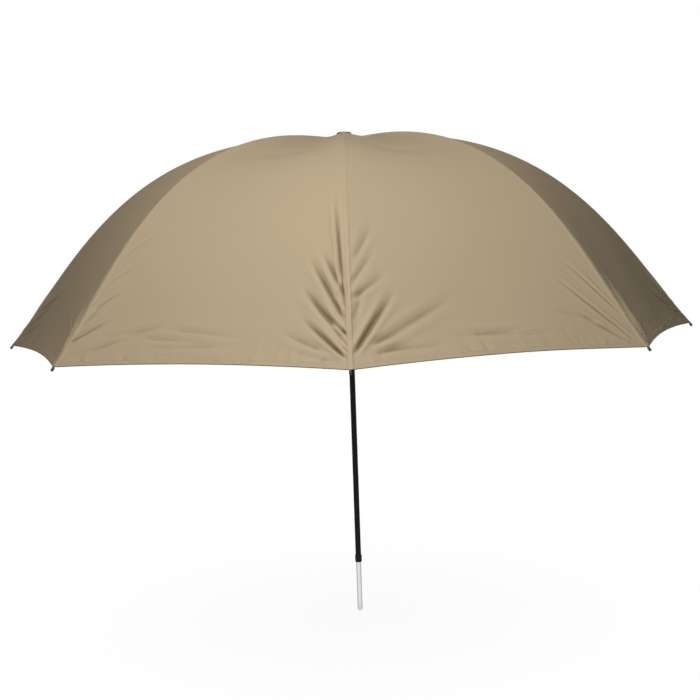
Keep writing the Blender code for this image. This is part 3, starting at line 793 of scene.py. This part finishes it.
# Folds at a rib: side, where the fold's line meets the rib above the tip, its angle from the
# rib, its near and far ends from that meeting, its half width and its depth.
FOLDS = {
    1: [
        (-1, -0.072, 3.0, 0.220, 0.64, 0.0056, 0.0060),
        (-1, 0.184, 22, 0.040, 0.170, 0.0072, 0.0056),
        (-1, 0.114, 25, 0.030, 0.240, 0.0078, 0.0066),
        (-1, 0.159, 29, 0.035, 0.065, 0.0050, 0.0030),
        (-1, 0.058, 33, 0.070, 0.215, 0.0098, 0.0062),
        (-1, 0.091, 41, 0.014, 0.090, 0.0052, 0.0056),
        (-1, 0.056, 34, 0.016, 0.070, 0.0050, 0.0044),
        (-1, 0.022, 44, 0.016, 0.180, 0.0070, 0.0068),
        (-1, 0.037, 35, 0.016, 0.062, 0.0048, 0.0036),
        (-1, 0.016, 62, 0.080, 0.210, 0.0100, 0.0026),
        (1, 0.270, 22, 0.060, 0.190, 0.0110, 0.0024),
        (1, 0.233, 32, 0.020, 0.130, 0.0085, 0.0028),
        (1, 0.196, 51, 0.010, 0.130, 0.0095, 0.0034),
        (1, 0.110, 18, 0.030, 0.120, 0.0080, 0.0016),
        (1, 0.027, 32, 0.020, 0.230, 0.0088, 0.0078),
        (1, 0.034, 60, 0.050, 0.360, 0.0125, 0.0032),
        (1, 0.020, 72, 0.060, 0.260, 0.0100, 0.0020),
        (1, 0.043, 86, 0.080, 0.260, 0.0105, 0.0026),
    ],
    8: [
        (1, 0.073, 48, 0.004, 0.110, 0.0050, 0.0046),
        (1, 0.110, 24, 0.010, 0.080, 0.0060, 0.0016),
        (1, 0.163, 45, 0.030, 0.120, 0.0080, 0.0020),
        (1, 0.240, 40, 0.020, 0.150, 0.0070, 0.0016),
        (1, 0.330, 36, 0.020, 0.160, 0.0070, 0.0014),
        (1, 0.020, 66, 0.030, 0.260, 0.0080, 0.0022),
        (1, 0.070, 76, 0.090, 0.300, 0.0090, 0.0020),
        (1, 0.150, 96, 0.280, 0.560, 0.0110, 0.0018),
        (1, 0.110, 94, 0.200, 0.480, 0.0090, 0.0018),
        (1, 0.055, 88, 0.260, 0.520, 0.0090, 0.0018),
        (-1, 0.020, 22, 0.040, 0.220, 0.0090, 0.0034),
    ],
    2: [
        (-1, -0.020, 27, 0.060, 0.310, 0.0050, 0.0044),
        (-1, 0.079, 20, 0.040, 0.240, 0.0050, 0.0030),
        (-1, -0.028, 41, 0.050, 0.220, 0.0060, 0.0030),
        (-1, 0.060, 68, 0.080, 0.260, 0.0080, 0.0018),
        (-1, 0.100, 92, 0.300, 0.560, 0.0100, 0.0018),
        (-1, 0.050, 86, 0.250, 0.500, 0.0090, 0.0016),
        (1, 0.020, 22, 0.050, 0.270, 0.0080, 0.0040),
        (1, 0.005, 34, 0.040, 0.240, 0.0085, 0.0044),
        (1, 0.000, 50, 0.040, 0.180, 0.0090, 0.0040),
    ],
}

# The other ribs get seeded folds like those, and these ribs a few faint ones.
SEED = 11
RANDOM_FOLDS = 7
EXTRA_FOLDS = 2
EXTRA_DEPTH_SHARE = 0.45
RANDOM_ANGLES = (14, 70)
ANGLE_CHANGE = (-6, 6)
NEAR_END = (0.01, 0.07)
FOOT_PLACE = (0.0, 0.11)
FOLD_LENGTH = (0.09, 0.24)
FOLD_HALF_WIDTH = (0.006, 0.012)
FOLD_DEPTH = (0.0014, 0.0042)


def fold_table():
    """The folds at every rib: those above, and the seeded ones."""
    draw = np.random.default_rng(SEED)
    table = {n: list(FOLDS.get(n, ())) for n in range(1, RIBS + 1)}
    for n in range(1, RIBS + 1):
        count, strength = (EXTRA_FOLDS, EXTRA_DEPTH_SHARE) if n in FOLDS else (RANDOM_FOLDS, 1.0)
        for side in (-1, 1):
            for angle in np.linspace(*RANDOM_ANGLES, count):
                near = draw.uniform(*NEAR_END)
                foot = draw.uniform(*FOOT_PLACE)
                leaning = angle + draw.uniform(*ANGLE_CHANGE)
                far = near + draw.uniform(*FOLD_LENGTH)
                half_width = draw.uniform(*FOLD_HALF_WIDTH)
                depth = draw.uniform(*FOLD_DEPTH) * strength
                table[n].append((side, foot, leaning, near, far, half_width, depth))
    return table


fold_lines = fold_table()

# A fold widens from its near to its far end, and fades in and out. Across, it is a rounded
# valley with a bank on each side, the outer one lower.
NEAR_WIDTH = 0.75
WIDENING = 0.6
WIDEST_PLACE = 1.2
FADE_BEFORE = 0.012
FADE_AFTER = 0.03
FULL_FROM = 0.2
FULL_UNTIL = 0.4
VALLEY_STEEPNESS = 1.6
VALLEY_ROUNDING = 0.4
BANK_PLACE = 1.8
OUTER_BANK = 0.5
INNER_BANK = 0.7


def ramp(value, start, end):
    """A smooth step from 0 at start to 1 at end."""
    share = np.clip((value - start) / (end - start), 0, 1)
    return share * share * (3 - 2 * share)


def fan_height(n, side, across, above):
    """Height of the folds that start at rib n, that far across the panel and above the tip."""
    height = np.zeros_like(across)
    for fold_side, foot, angle, near, far, half_width, depth in fold_lines[n]:
        if fold_side != side:
            continue
        turn = math.radians(angle)
        rise = above - foot
        along = across * math.sin(turn) + rise * math.cos(turn)
        off = across * math.cos(turn) - rise * math.sin(turn)
        length = far - near
        widening = WIDENING * np.clip((along - near) / length, 0, WIDEST_PLACE)
        place = off / (half_width * (NEAR_WIDTH + widening))
        fade_in = ramp(along, near - FADE_BEFORE, near + FULL_FROM * length)
        fade_out = 1 - ramp(along, near + FULL_UNTIL * length, far + FADE_AFTER)
        rounded = np.sqrt(place**2 + VALLEY_ROUNDING**2) - VALLEY_ROUNDING
        valley = np.exp(-VALLEY_STEEPNESS * rounded)
        banks = OUTER_BANK * np.exp(-((place - BANK_PLACE) ** 2))
        banks += INNER_BANK * np.exp(-((place + BANK_PLACE) ** 2))
        height += depth * fade_in * fade_out * (banks - valley)
    return height


# Small puckers stand at the hem: their place from the panel's middle, half width, length,
# depth and lean. Low swells cross the panel: their waves across and up, two phases and height.
PUCKERS = 44
PUCKER_RANGES = (
    (-0.36, 0.36), (0.005, 0.009), (0.025, 0.065), (-0.0019, 0.0017), (-0.35, 0.35)
)
PUCKER_HEM_FADE = (0.004, 0.02)
SWELLS = 5
SWELL_RANGES = ((4, 16), (4, 14), (0, math.tau), (0, math.tau), (0.0004, 0.0011))
RIB_FADE = (0.003, 0.012)


def drawn_rows(draw, count, ranges):
    """For each panel, that many rows of one random measure from each range."""
    return [
        [tuple(draw.uniform(low, high) for low, high in ranges) for _ in range(count)]
        for _ in range(RIBS)
    ]


cloth_draw = np.random.default_rng(SEED + 1)
puckers = drawn_rows(cloth_draw, PUCKERS, PUCKER_RANGES)
swells = drawn_rows(cloth_draw, SWELLS, SWELL_RANGES)


# Each panel has a long shallow dip across it, a third of the way down from the crown.
DIP_DEPTH = 0.0040
DIP_HALF_WIDTH = 0.042
DIP_CROWN_SHARE = 0.30
DIP_MIDDLE_SHARE = 0.37
DIP_SLOPE_SPAN = (0.2, 1.0)
ODD_RIB_SPAN = (0.1, 0.9)
EVEN_RIB_SPAN = (0.25, 1.0)


def crown_dip(n, across, share):
    """The dip's height: it starts near the crown at an odd rib and ends level at an even one."""
    if n % 2:
        fall = (DIP_MIDDLE_SHARE - DIP_CROWN_SHARE) * ramp(across, *DIP_SLOPE_SPAN)
        line = DIP_CROWN_SHARE + fall
        end = ramp(across, *ODD_RIB_SPAN)
    else:
        line = DIP_MIDDLE_SHARE
        end = ramp(across, *EVEN_RIB_SPAN)
    place = (share - line) * RIB_LENGTH / DIP_HALF_WIDTH
    return -DIP_DEPTH * end * np.exp(-(place**2))


def panel_of(n, side):
    """The number of the panel on that side of rib n, counted from 0."""
    return (n - 1 if side > 0 else n - 2) % RIBS


def swell_height(n, side, across, half_chord, share):
    """The broad, low swells of a panel, with its dip below the crown."""
    height = crown_dip(n, across, share)
    middle = -side * (1 - across) * half_chord
    above = (1 - share) * RIB_LENGTH
    for waves_across, waves_up, phase_a, phase_b, size in swells[panel_of(n, side)]:
        waves = np.sin(waves_across * middle + phase_a) * np.sin(waves_up * above + phase_b)
        height += size * waves * across * (2 - across)
    return height


def fold_height(n, side, across, half_chord, share, station):
    """How far the cloth stands out from its swells, by its folds, puckers and seams."""
    other = n % RIBS + 1 if side > 0 else (n - 2) % RIBS + 1
    off_rib = across * half_chord
    off_other = (2 - across) * half_chord
    above = (1 - share) * RIB_LENGTH
    above_hem = (1 - station) * RIB_LENGTH
    height = fan_height(n, side, off_rib, above) + fan_height(other, -side, off_other, above)
    middle = -side * (1 - across) * half_chord
    hem_fade = ramp(above_hem, *PUCKER_HEM_FADE)
    for place, width, length, depth, lean in puckers[panel_of(n, side)]:
        off = middle - place - lean * above_hem
        pucker = np.exp(-((off / width) ** 2)) * np.exp(-((above_hem / length) ** 2))
        height += depth * pucker * hem_fade
    height = np.where(height < 0, height * ramp(off_rib, *RIB_FADE), height)
    raised = 1 - (1 - SEAM_CROWN_SHARE) * ramp(above, *SEAM_FADE)
    height += SEAM_HEIGHT * raised * np.exp(-(((off_rib - SEAM_HALF) / SEAM_SPREAD) ** 2))
    return height


def skin(n, side, across, station):
    """Places on the cover's smooth skin, with half the panel's width and the share of the rib."""
    arch = 2 * across - across * across
    share = station - HEM_RISE * arch / RIB_LENGTH * (station - FIRST_STATION) / (1 - FIRST_STATION)
    slope = slope_curve(share)
    out, up = rib_line(share, CLOTH_LIFT)
    radius = pivot_radius + out
    half_chord = radius * math.sin(HALF_PANEL)
    along = across * half_chord
    hollow = CROWN_HOLLOW * np.sin(math.pi * np.clip(share / HOLLOW_END_SHARE, 0, 1)) ** 2
    sag = (SAG_SHARE * 2 * half_chord + hollow) * arch
    inward = sag * np.sin(slope)
    x = side * (along * math.cos(HALF_PANEL) - inward * math.sin(HALF_PANEL))
    y = -(radius - along * math.sin(HALF_PANEL) - inward * math.cos(HALF_PANEL))
    z = pivot.z + up - sag * np.cos(slope)
    return turned_to_rib(x, y, z, n), half_chord, share


def sideways_of(n):
    """The level direction across rib n."""
    return math.cos(rib_turn(n)), math.sin(rib_turn(n)), 0.0


def cloth_surface(n, side, across, station):
    """Places on the cloth's outer face, with its outward directions, fold height and flat place."""
    place, half_chord, share = skin(n, side, across, station)
    wide = skin(n, side, across + SKIN_STEP, station)[0]
    wide -= skin(n, side, across - SKIN_STEP, station)[0]
    tall = skin(n, side, across, station + SKIN_STEP)[0]
    tall -= skin(n, side, across, station - SKIN_STEP)[0]
    out = np.cross(wide, tall) * -side
    out /= np.linalg.norm(out, axis=-1, keepdims=True)
    # On the rib the two sides meet, so their directions are made the same there.
    sideways = np.array(sideways_of(n))
    level = out - (out @ sideways)[..., None] * sideways
    level /= np.linalg.norm(level, axis=-1, keepdims=True)
    out = np.where((across == 0)[..., None], level, out)
    folded = fold_height(n, side, across, half_chord, share, station)
    height = folded + swell_height(n, side, across, half_chord, share)
    return place + out * height[..., None], out, folded, side * across * half_chord, share


def weave_group():
    """Plain weave: threads over and under each other, on a UV map in metres."""
    tree, given, result = new_group(
        "plain_weave",
        [
            ("Thread Pitch", "NodeSocketFloat", THREAD_PITCH),
            ("Depth", "NodeSocketFloat", WEAVE_DEPTH),
            ("Color", "NodeSocketColor", (0.4, 0.35, 0.25, 1)),
            ("Shade Color", "NodeSocketColor", (0.3, 0.25, 0.18, 1)),
        ],
        [("Color", "NodeSocketColor"), ("Normal", "NodeSocketVector")],
    )
    own = given.outputs
    flat = add_node(tree, "ShaderNodeUVMap", uv_map="cloth").outputs["UV"]
    axes = add_node(tree, "ShaderNodeSeparateXYZ", {0: flat})
    waves = []
    for axis in ("X", "Y"):
        turns = maths(tree, "DIVIDE", axes.outputs[axis], own["Thread Pitch"])
        waves.append(maths(tree, "SINE", maths(tree, "MULTIPLY", turns, math.pi)))
    threads = maths(tree, "MULTIPLY", *waves)
    slubs = noise(tree, flat, SLUB_SCALE, detail=4.0, roughness=0.65)
    bump = add_node(
        tree,
        "ShaderNodeBump",
        {"Height": maths(tree, "ADD", threads, slubs), "Distance": own["Depth"], "Strength": 0.5},
    )
    clouds = noise(tree, flat, CLOUD_SCALE, detail=5.0, roughness=0.55)
    cloudy = ranged(tree, clouds, start=0.3, end=0.9, high=CLOUD_SHADE)
    flecks = ranged(tree, slubs, start=0.5, end=0.8, high=SLUB_SHADE)
    color = mixed(tree, maths(tree, "ADD", cloudy, flecks), own["Color"], own["Shade Color"])
    tree.links.new(color, result.inputs["Color"])
    tree.links.new(bump.outputs["Normal"], result.inputs["Normal"])
    return tree


plain_weave = weave_group()


def cloth_material(name, color, shade, roughness):
    """Woven cloth, with painted shade in the bottoms of its folds."""
    material = bpy.data.materials.new(name)
    material.use_nodes = True
    tree = material.node_tree
    shader = tree.nodes["Principled BSDF"]
    weave = add_node(
        tree,
        "ShaderNodeGroup",
        {"Color": (*color, 1), "Shade Color": (*shade, 1)},
        node_tree=plain_weave,
    )
    # Where a fold or pucker lies low, the colour is mixed towards dark brown: painted shade in its
    # bottom.
    fold = add_node(tree, "ShaderNodeAttribute", attribute_name="fold_height").outputs["Fac"]
    painted_fold_shade = ranged(tree, fold, start=FOLD_PAINTED_SHADE_START, end=FOLD_PAINTED_SHADE_END, high=FOLD_PAINTED_SHADE_SHARE)
    color = mixed(tree, painted_fold_shade, weave.outputs["Color"], (*FOLD_PAINTED_SHADE_COLOR, 1))
    tree.links.new(color, shader.inputs["Base Color"])
    tree.links.new(weave.outputs["Normal"], shader.inputs["Normal"])
    shader.inputs["Roughness"].default_value = roughness
    shader.inputs["Specular IOR Level"].default_value = 0.1
    return material


canopy_cloth = cloth_material("canopy_cloth", CLOTH_COLOR, CLOTH_SHADE_COLOR, roughness=0.8)
canopy_inside = cloth_material(
    "canopy_inside", CLOTH_INSIDE_COLOR, CLOTH_SHADE_COLOR, roughness=0.7
)
painted_hem_shade = cloth_material("painted_hem_shade", HEM_EDGE_SHADE_COLOR, HEM_EDGE_SHADE_COLOR, roughness=0.85)
CLOTH_MATERIALS = (canopy_cloth, canopy_inside, painted_hem_shade)
OUTSIDE, INSIDE, SHADED_EDGE = range(len(CLOTH_MATERIALS))


def strip_mesh(n):
    """The cloth on rib n: an outer face, an inner face and the edges between them."""
    side_across = (np.arange(SIDE_COLUMNS + 1) / SIDE_COLUMNS) ** COLUMN_POWER
    steps = np.linspace(0, 1, CLOTH_ROWS + 1)
    down = ROW_EVENNESS * steps + (1 - ROW_EVENNESS) * steps**2
    station = 1 - down[::-1] * (1 - FIRST_STATION)
    across, rows = np.meshgrid(side_across, station)
    left, right = (cloth_surface(n, side, across, rows) for side in (-1, 1))
    place, out, folded, flat_x, share = (
        np.concatenate([left_part[:, :0:-1], right_part], axis=1)
        for left_part, right_part in zip(left, right)
    )
    hem = 1 - ramp((1 - station) * RIB_LENGTH, HEM_WIDTH - HEM_STEP, HEM_WIDTH)
    thick = CLOTH + (HEM_CLOTH - CLOTH) * hem
    outer = place + out * (thick - CLOTH)[:, None, None] * 0.5
    inner = outer - out * thick[:, None, None]

    rows, columns = outer.shape[:2]
    index = np.arange(rows * columns).reshape(rows, columns)
    low = index + rows * columns

    def quads(first, second):
        return np.stack([first[:-1], first[1:], second[1:], second[:-1]], axis=-1)

    upper = quads(index[:, :-1], index[:, 1:]).reshape(-1, 4)
    under = upper[:, ::-1] + rows * columns
    top = quads(index[0], low[0])
    hem_faces = quads(low[-1], index[-1])
    sides = np.concatenate([quads(low[:, 0], index[:, 0]), quads(index[:, -1], low[:, -1])])
    faces = np.concatenate([upper, under, top, hem_faces, sides])
    last_row = columns - 1
    # The hem's last outer row and its edge take the dark hem colour, which is painted shade.
    slots = np.repeat(
        (OUTSIDE, SHADED_EDGE, INSIDE, OUTSIDE, SHADED_EDGE, OUTSIDE),
        (len(upper) - last_row, last_row, len(under), len(top), len(hem_faces), len(sides)),
    )

    mesh = bpy.data.meshes.new(f"cloth_{n}")
    mesh.from_pydata(np.concatenate([outer, inner]).reshape(-1, 3).tolist(), [], faces.tolist())
    for material in CLOTH_MATERIALS:
        mesh.materials.append(material)
    mesh.polygons.foreach_set("material_index", slots.astype(np.int32))
    flat = np.stack([flat_x, share * RIB_LENGTH], axis=-1).reshape(-1, 2)
    flat = np.concatenate([flat, flat])
    corners = np.zeros(len(mesh.loops), dtype=np.int32)
    mesh.loops.foreach_get("vertex_index", corners)
    uv = mesh.uv_layers.new(name="cloth")
    uv.data.foreach_set("uv", flat[corners].astype(np.float32).ravel())
    marked = mesh.attributes.new("fold_height", "FLOAT", "POINT")
    marked.data.foreach_set("value", np.concatenate([folded, folded]).astype(np.float32).ravel())
    mesh.update()
    mesh.shade_smooth()
    mesh.set_sharp_from_angle(angle=CREASE_ANGLE)
    return mesh


# Two rows of stitches hold each seam on its rib, and one row holds the hem. A quarter of a
# stitch's thickness is sunk in the cloth.
STITCH_PITCH = 0.0048
STITCH_LENGTH = 0.0034
STITCH_RADIUS = 0.00032
STITCH_SIDES = 5
STITCH_RINGS = 4
THREAD_COLOR = (0.36, 0.30, 0.20)
THREAD_SHADE_COLOR = (0.25, 0.20, 0.13)
SEAM_STITCH_PLACE = 0.0052
SEAM_STITCH_SPAN = (0.055, 0.988)
SEAM_LINE_POINTS = 500
HEM_STITCH_PLACE = 0.0135
HEM_STITCH_END = 0.996
HEM_LINE_POINTS = 160

thread = finish_of(
    "thread", THREAD_COLOR, THREAD_SHADE_COLOR, roughness=0.7, worn_roughness=0.8,
    patch_scale=200.0, edge_wear=0.1, grain=(6000, 6000, 6000), depth=0.00005,
)


def stitch_tree():
    """Short threads laid at even distances along lines of edges."""
    tree, given, end = geometry_tree(
        "stitches_along_line",
        [
            ("Pitch", STITCH_PITCH),
            ("Length", STITCH_LENGTH),
            ("Radius", STITCH_RADIUS),
            ("Sides", STITCH_SIDES),
        ],
    )
    own = given.outputs
    line = add_node(tree, "GeometryNodeMeshToCurve", {"Mesh": own["Geometry"]})
    places = add_node(
        tree,
        "GeometryNodeCurveToPoints",
        {"Curve": line.outputs[0], "Length": own["Pitch"]},
        mode="LENGTH",
    )
    ball = add_node(
        tree,
        "GeometryNodeMeshUVSphere",
        {"Segments": own["Sides"], "Rings": STITCH_RINGS, "Radius": own["Radius"]},
    )
    longer = maths(tree, "DIVIDE", maths(tree, "MULTIPLY", own["Length"], 0.5), own["Radius"])
    size = add_node(tree, "ShaderNodeCombineXYZ", {"X": 1.0, "Y": 1.0, "Z": longer})
    stitch = add_node(
        tree, "GeometryNodeTransform", {"Geometry": ball.outputs["Mesh"], "Scale": size.outputs[0]}
    )
    laid = add_node(
        tree,
        "GeometryNodeInstanceOnPoints",
        {
            "Points": places.outputs["Points"],
            "Instance": stitch.outputs[0],
            "Rotation": places.outputs["Rotation"],
        },
    )
    end(laid.outputs[0])
    return tree


stitches_along_line = stitch_tree()


def stitch_lines(n):
    """The seam's two stitch lines on rib n and its strip's hem stitch line."""
    lines = []
    stations = np.linspace(*SEAM_STITCH_SPAN, SEAM_LINE_POINTS)
    for side in (-1, 1):
        half_chord = skin(n, side, np.zeros_like(stations), stations)[1]
        place, out, *_ = cloth_surface(n, side, SEAM_STITCH_PLACE / half_chord, stations)
        lines.append(place + out * STITCH_RADIUS / 2)
    across = np.linspace(0, HEM_STITCH_END, HEM_LINE_POINTS)
    station = np.full_like(across, 1 - HEM_STITCH_PLACE / RIB_LENGTH)
    half_lines = []
    for side in (-1, 1):
        place, out, *_ = cloth_surface(n, side, across, station)
        half_lines.append(place + out * ((HEM_CLOTH - CLOTH) / 2 + STITCH_RADIUS / 2))
    lines.append(np.concatenate([half_lines[0][:0:-1], half_lines[1]]))
    return lines


# A strip is cut flat as two half gores side by side, and its hem is cut to a shallow arch.
strip_width = 2 * (pivot_radius + float(rib_line(1.0)[0])) * math.sin(HALF_PANEL)
stations = FIRST_STATION + (1 - FIRST_STATION) * step_middles
mean_width = float(np.mean(pivot_radius + rib_line(stations)[0])) * 2 * math.sin(HALF_PANEL)

for n in range(1, RIBS + 1):
    strip = placed(f"cover_strip_{n}", strip_mesh(n))
    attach(strip, f"rib_arm_{n}")
    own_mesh(strip)
    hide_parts(f"canopy_{n}")
    stitches = mesh_piece(
        f"cover_stitches_{n}",
        grown(f"stitches_{n}", stitch_lines(n), stitches_along_line, thread),
        thread,
        angle=math.pi,
    )
    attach(stitches, f"rib_arm_{n}")
    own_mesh(stitches)


# A round patch of the same cloth covers the crown. It lies tight on the cap and falls to the
# gores round it.
PATCH_SIDES = 128
PATCH_ROWS = 28
PATCH_EDGE_TURN = 0.0006
PATCH_CREASE_ANGLE = math.radians(60)
FLAT_SHARE_OF_CAP = 0.62
FALL_POWER = 1.8
DISHING = 0.0001

patch_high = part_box("top_patch")[1]
patch_radius = patch_high.x
flat_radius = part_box("crown_cap")[1].x * FLAT_SHARE_OF_CAP


def patch_mesh():
    """A dome that is flat on the cap and falls softly to the cloth around it."""
    top = patch_high.z
    edge_height = pivot.z + float(
        rib_line((patch_radius - pivot_radius) / RIB_LENGTH, CLOTH_LIFT + CLOTH)[1]
    )
    fall = top - CLOTH - edge_height
    profile = []
    for i in range(PATCH_ROWS + 1):
        radius = patch_radius * i / PATCH_ROWS
        share = min(1.0, max(0.0, (radius - flat_radius) / (patch_radius - flat_radius)))
        soft = 1 - (1 - share) ** FALL_POWER
        profile.append((radius, top - fall * soft - DISHING * i / PATCH_ROWS))
    edge = [(patch_radius + PATCH_EDGE_TURN, profile[-1][1] - CLOTH / 2)]
    under = [(radius, height - CLOTH) for radius, height in profile[::-1]]
    mesh = turned(profile + edge + under, PATCH_SIDES)
    uv = mesh.uv_layers.new(name="cloth")
    for loop in mesh.loops:
        uv.data[loop.index].uv = mesh.vertices[loop.vertex_index].co.xy
    return mesh


patch = mesh_piece("crown_patch", patch_mesh(), canopy_cloth, angle=PATCH_CREASE_ANGLE)
stands_for(patch, "top_patch", "mast")


# The umbrella stands on a plain floor, on which it throws a faint shadow. Floor and room are white
# where they are seen themselves, except round the spike, where a small share of plainly lit floor
# shows through: the faint shadow falls in it, and it greys the floor a little even out of the
# shadow, a painted grey disc that fades out. Reflected in the steel, they are white in front of the
# umbrella and grey beside and behind it.
FLOOR_SIZE = 60.0
FLOOR_COLOR = (0.5, 0.5, 0.5)
SHADOW_SHARE = 0.05
SHADOW_REACH = 1.2
SIDE_SHINE = 0.41
SHINE_START = -0.68
SHINE_END = 0.12
WHITE = (1, 1, 1, 1)


def whiteness(tree, direction):
    """How white floor or room looks, in that direction from the spike."""
    ray = add_node(tree, "ShaderNodeLightPath").outputs
    depth = add_node(tree, "ShaderNodeSeparateXYZ", {"Vector": direction}).outputs["Y"]
    shine = ranged(tree, depth, SHINE_START, SHINE_END, 1.0, SIDE_SHINE, kind="SMOOTHSTEP")
    reflected = maths(tree, "MULTIPLY", ray["Is Glossy Ray"], shine)
    return maths(tree, "MAXIMUM", ray["Is Camera Ray"], reflected)


half = FLOOR_SIZE / 2
floor_mesh = bpy.data.meshes.new("floor")
floor_mesh.from_pydata(
    [(-half, -half, 0), (half, -half, 0), (half, half, 0), (-half, half, 0)], [], [(0, 1, 2, 3)]
)
floor = placed("floor", floor_mesh)
floor_finish = bpy.data.materials.new("floor")
floor_finish.use_nodes = True
tree = floor_finish.node_tree
plain = tree.nodes["Principled BSDF"]
plain.inputs["Base Color"].default_value = (*FLOOR_COLOR, 1)
plain.inputs["Roughness"].default_value = 1.0
plain.inputs["Specular IOR Level"].default_value = 0.0
white = add_node(tree, "ShaderNodeEmission", {"Color": WHITE, "Strength": 1.0})
place = object_place(tree)
from_spike = add_node(tree, "ShaderNodeVectorMath", {0: place}, operation="LENGTH")
# Near the spike a share of the plainly lit floor shows through: the real faint shadow, on a painted
# grey disc that fades out at SHADOW_REACH.
unshaded = ranged(
    tree, from_spike.outputs["Value"], end=SHADOW_REACH, low=1 - SHADOW_SHARE, kind="SMOOTHSTEP"
)
direction = add_node(tree, "ShaderNodeVectorMath", {0: place}, operation="NORMALIZE").outputs[0]
lit = maths(tree, "MULTIPLY", whiteness(tree, direction), unshaded)
surface = add_node(tree, "ShaderNodeMixShader", {0: lit, 1: plain.outputs[0], 2: white.outputs[0]})
tree.links.new(surface.outputs[0], tree.nodes["Material Output"].inputs["Surface"])
floor_mesh.materials.append(floor_finish)


# A white room stands round it, which lights the umbrella only faintly.
ROOM_LIGHT = 0.03

world = bpy.data.worlds.new("white_room")
bpy.context.scene.world = world
world.use_nodes = True
tree = world.node_tree
background = tree.nodes["Background"]
background.inputs["Color"].default_value = WHITE
direction = add_node(tree, "ShaderNodeTexCoord").outputs["Generated"]
strength = ranged(tree, whiteness(tree, direction), low=ROOM_LIGHT)
tree.links.new(strength, background.inputs["Strength"])


# Three square soft lamps: one low in front, one high in front, and one behind.
LAMP_SIZE = 0.9


def lamp(name, place, target, power):
    """A lamp at a place, facing a target."""
    data = bpy.data.lights.new(name, "AREA")
    data.size = LAMP_SIZE
    data.energy = power
    item = placed(name, data)
    item.location = place
    item.rotation_euler = (Vector(target) - Vector(place)).to_track_quat("-Z", "Y").to_euler()
    item.visible_camera = False


lamp("front_lamp", (-0.06, -2.85, 1.95), target=(0, 0, 1.2), power=30.0)
lamp("high_lamp", (-0.27, -1.8, 3.3), target=(0, -0.1, 1.3), power=38.5)
lamp("rear_lamp", (0.3, 3.1, 1.8), target=(0, 0, 1.1), power=48.0)


# The camera stands about 3.9 m in front, a little above the hem, and leans slightly to a side.
EYE = (0.013, -3.923, 1.2125)
LENS = 62.87
SENSOR = 36.0
YAW = math.radians(-0.253)
PITCH = math.radians(-5.137)
ROLL = math.radians(-1.966)

right = Vector((math.cos(YAW), -math.sin(YAW), 0))
ahead = Vector((math.sin(YAW) * math.cos(PITCH), math.cos(YAW) * math.cos(PITCH), math.sin(PITCH)))
above = right.cross(ahead)
leaning_right = right * math.cos(ROLL) + above * math.sin(ROLL)
leaning_up = above * math.cos(ROLL) - right * math.sin(ROLL)
camera_data = bpy.data.cameras.new("camera")
camera_data.lens = LENS
camera_data.sensor_width = SENSOR
camera = placed("camera", camera_data)
camera.matrix_world = Matrix.Translation(EYE) @ Matrix(
    (leaning_right, leaning_up, -ahead)
).transposed().to_4x4()
bpy.context.scene.camera = camera
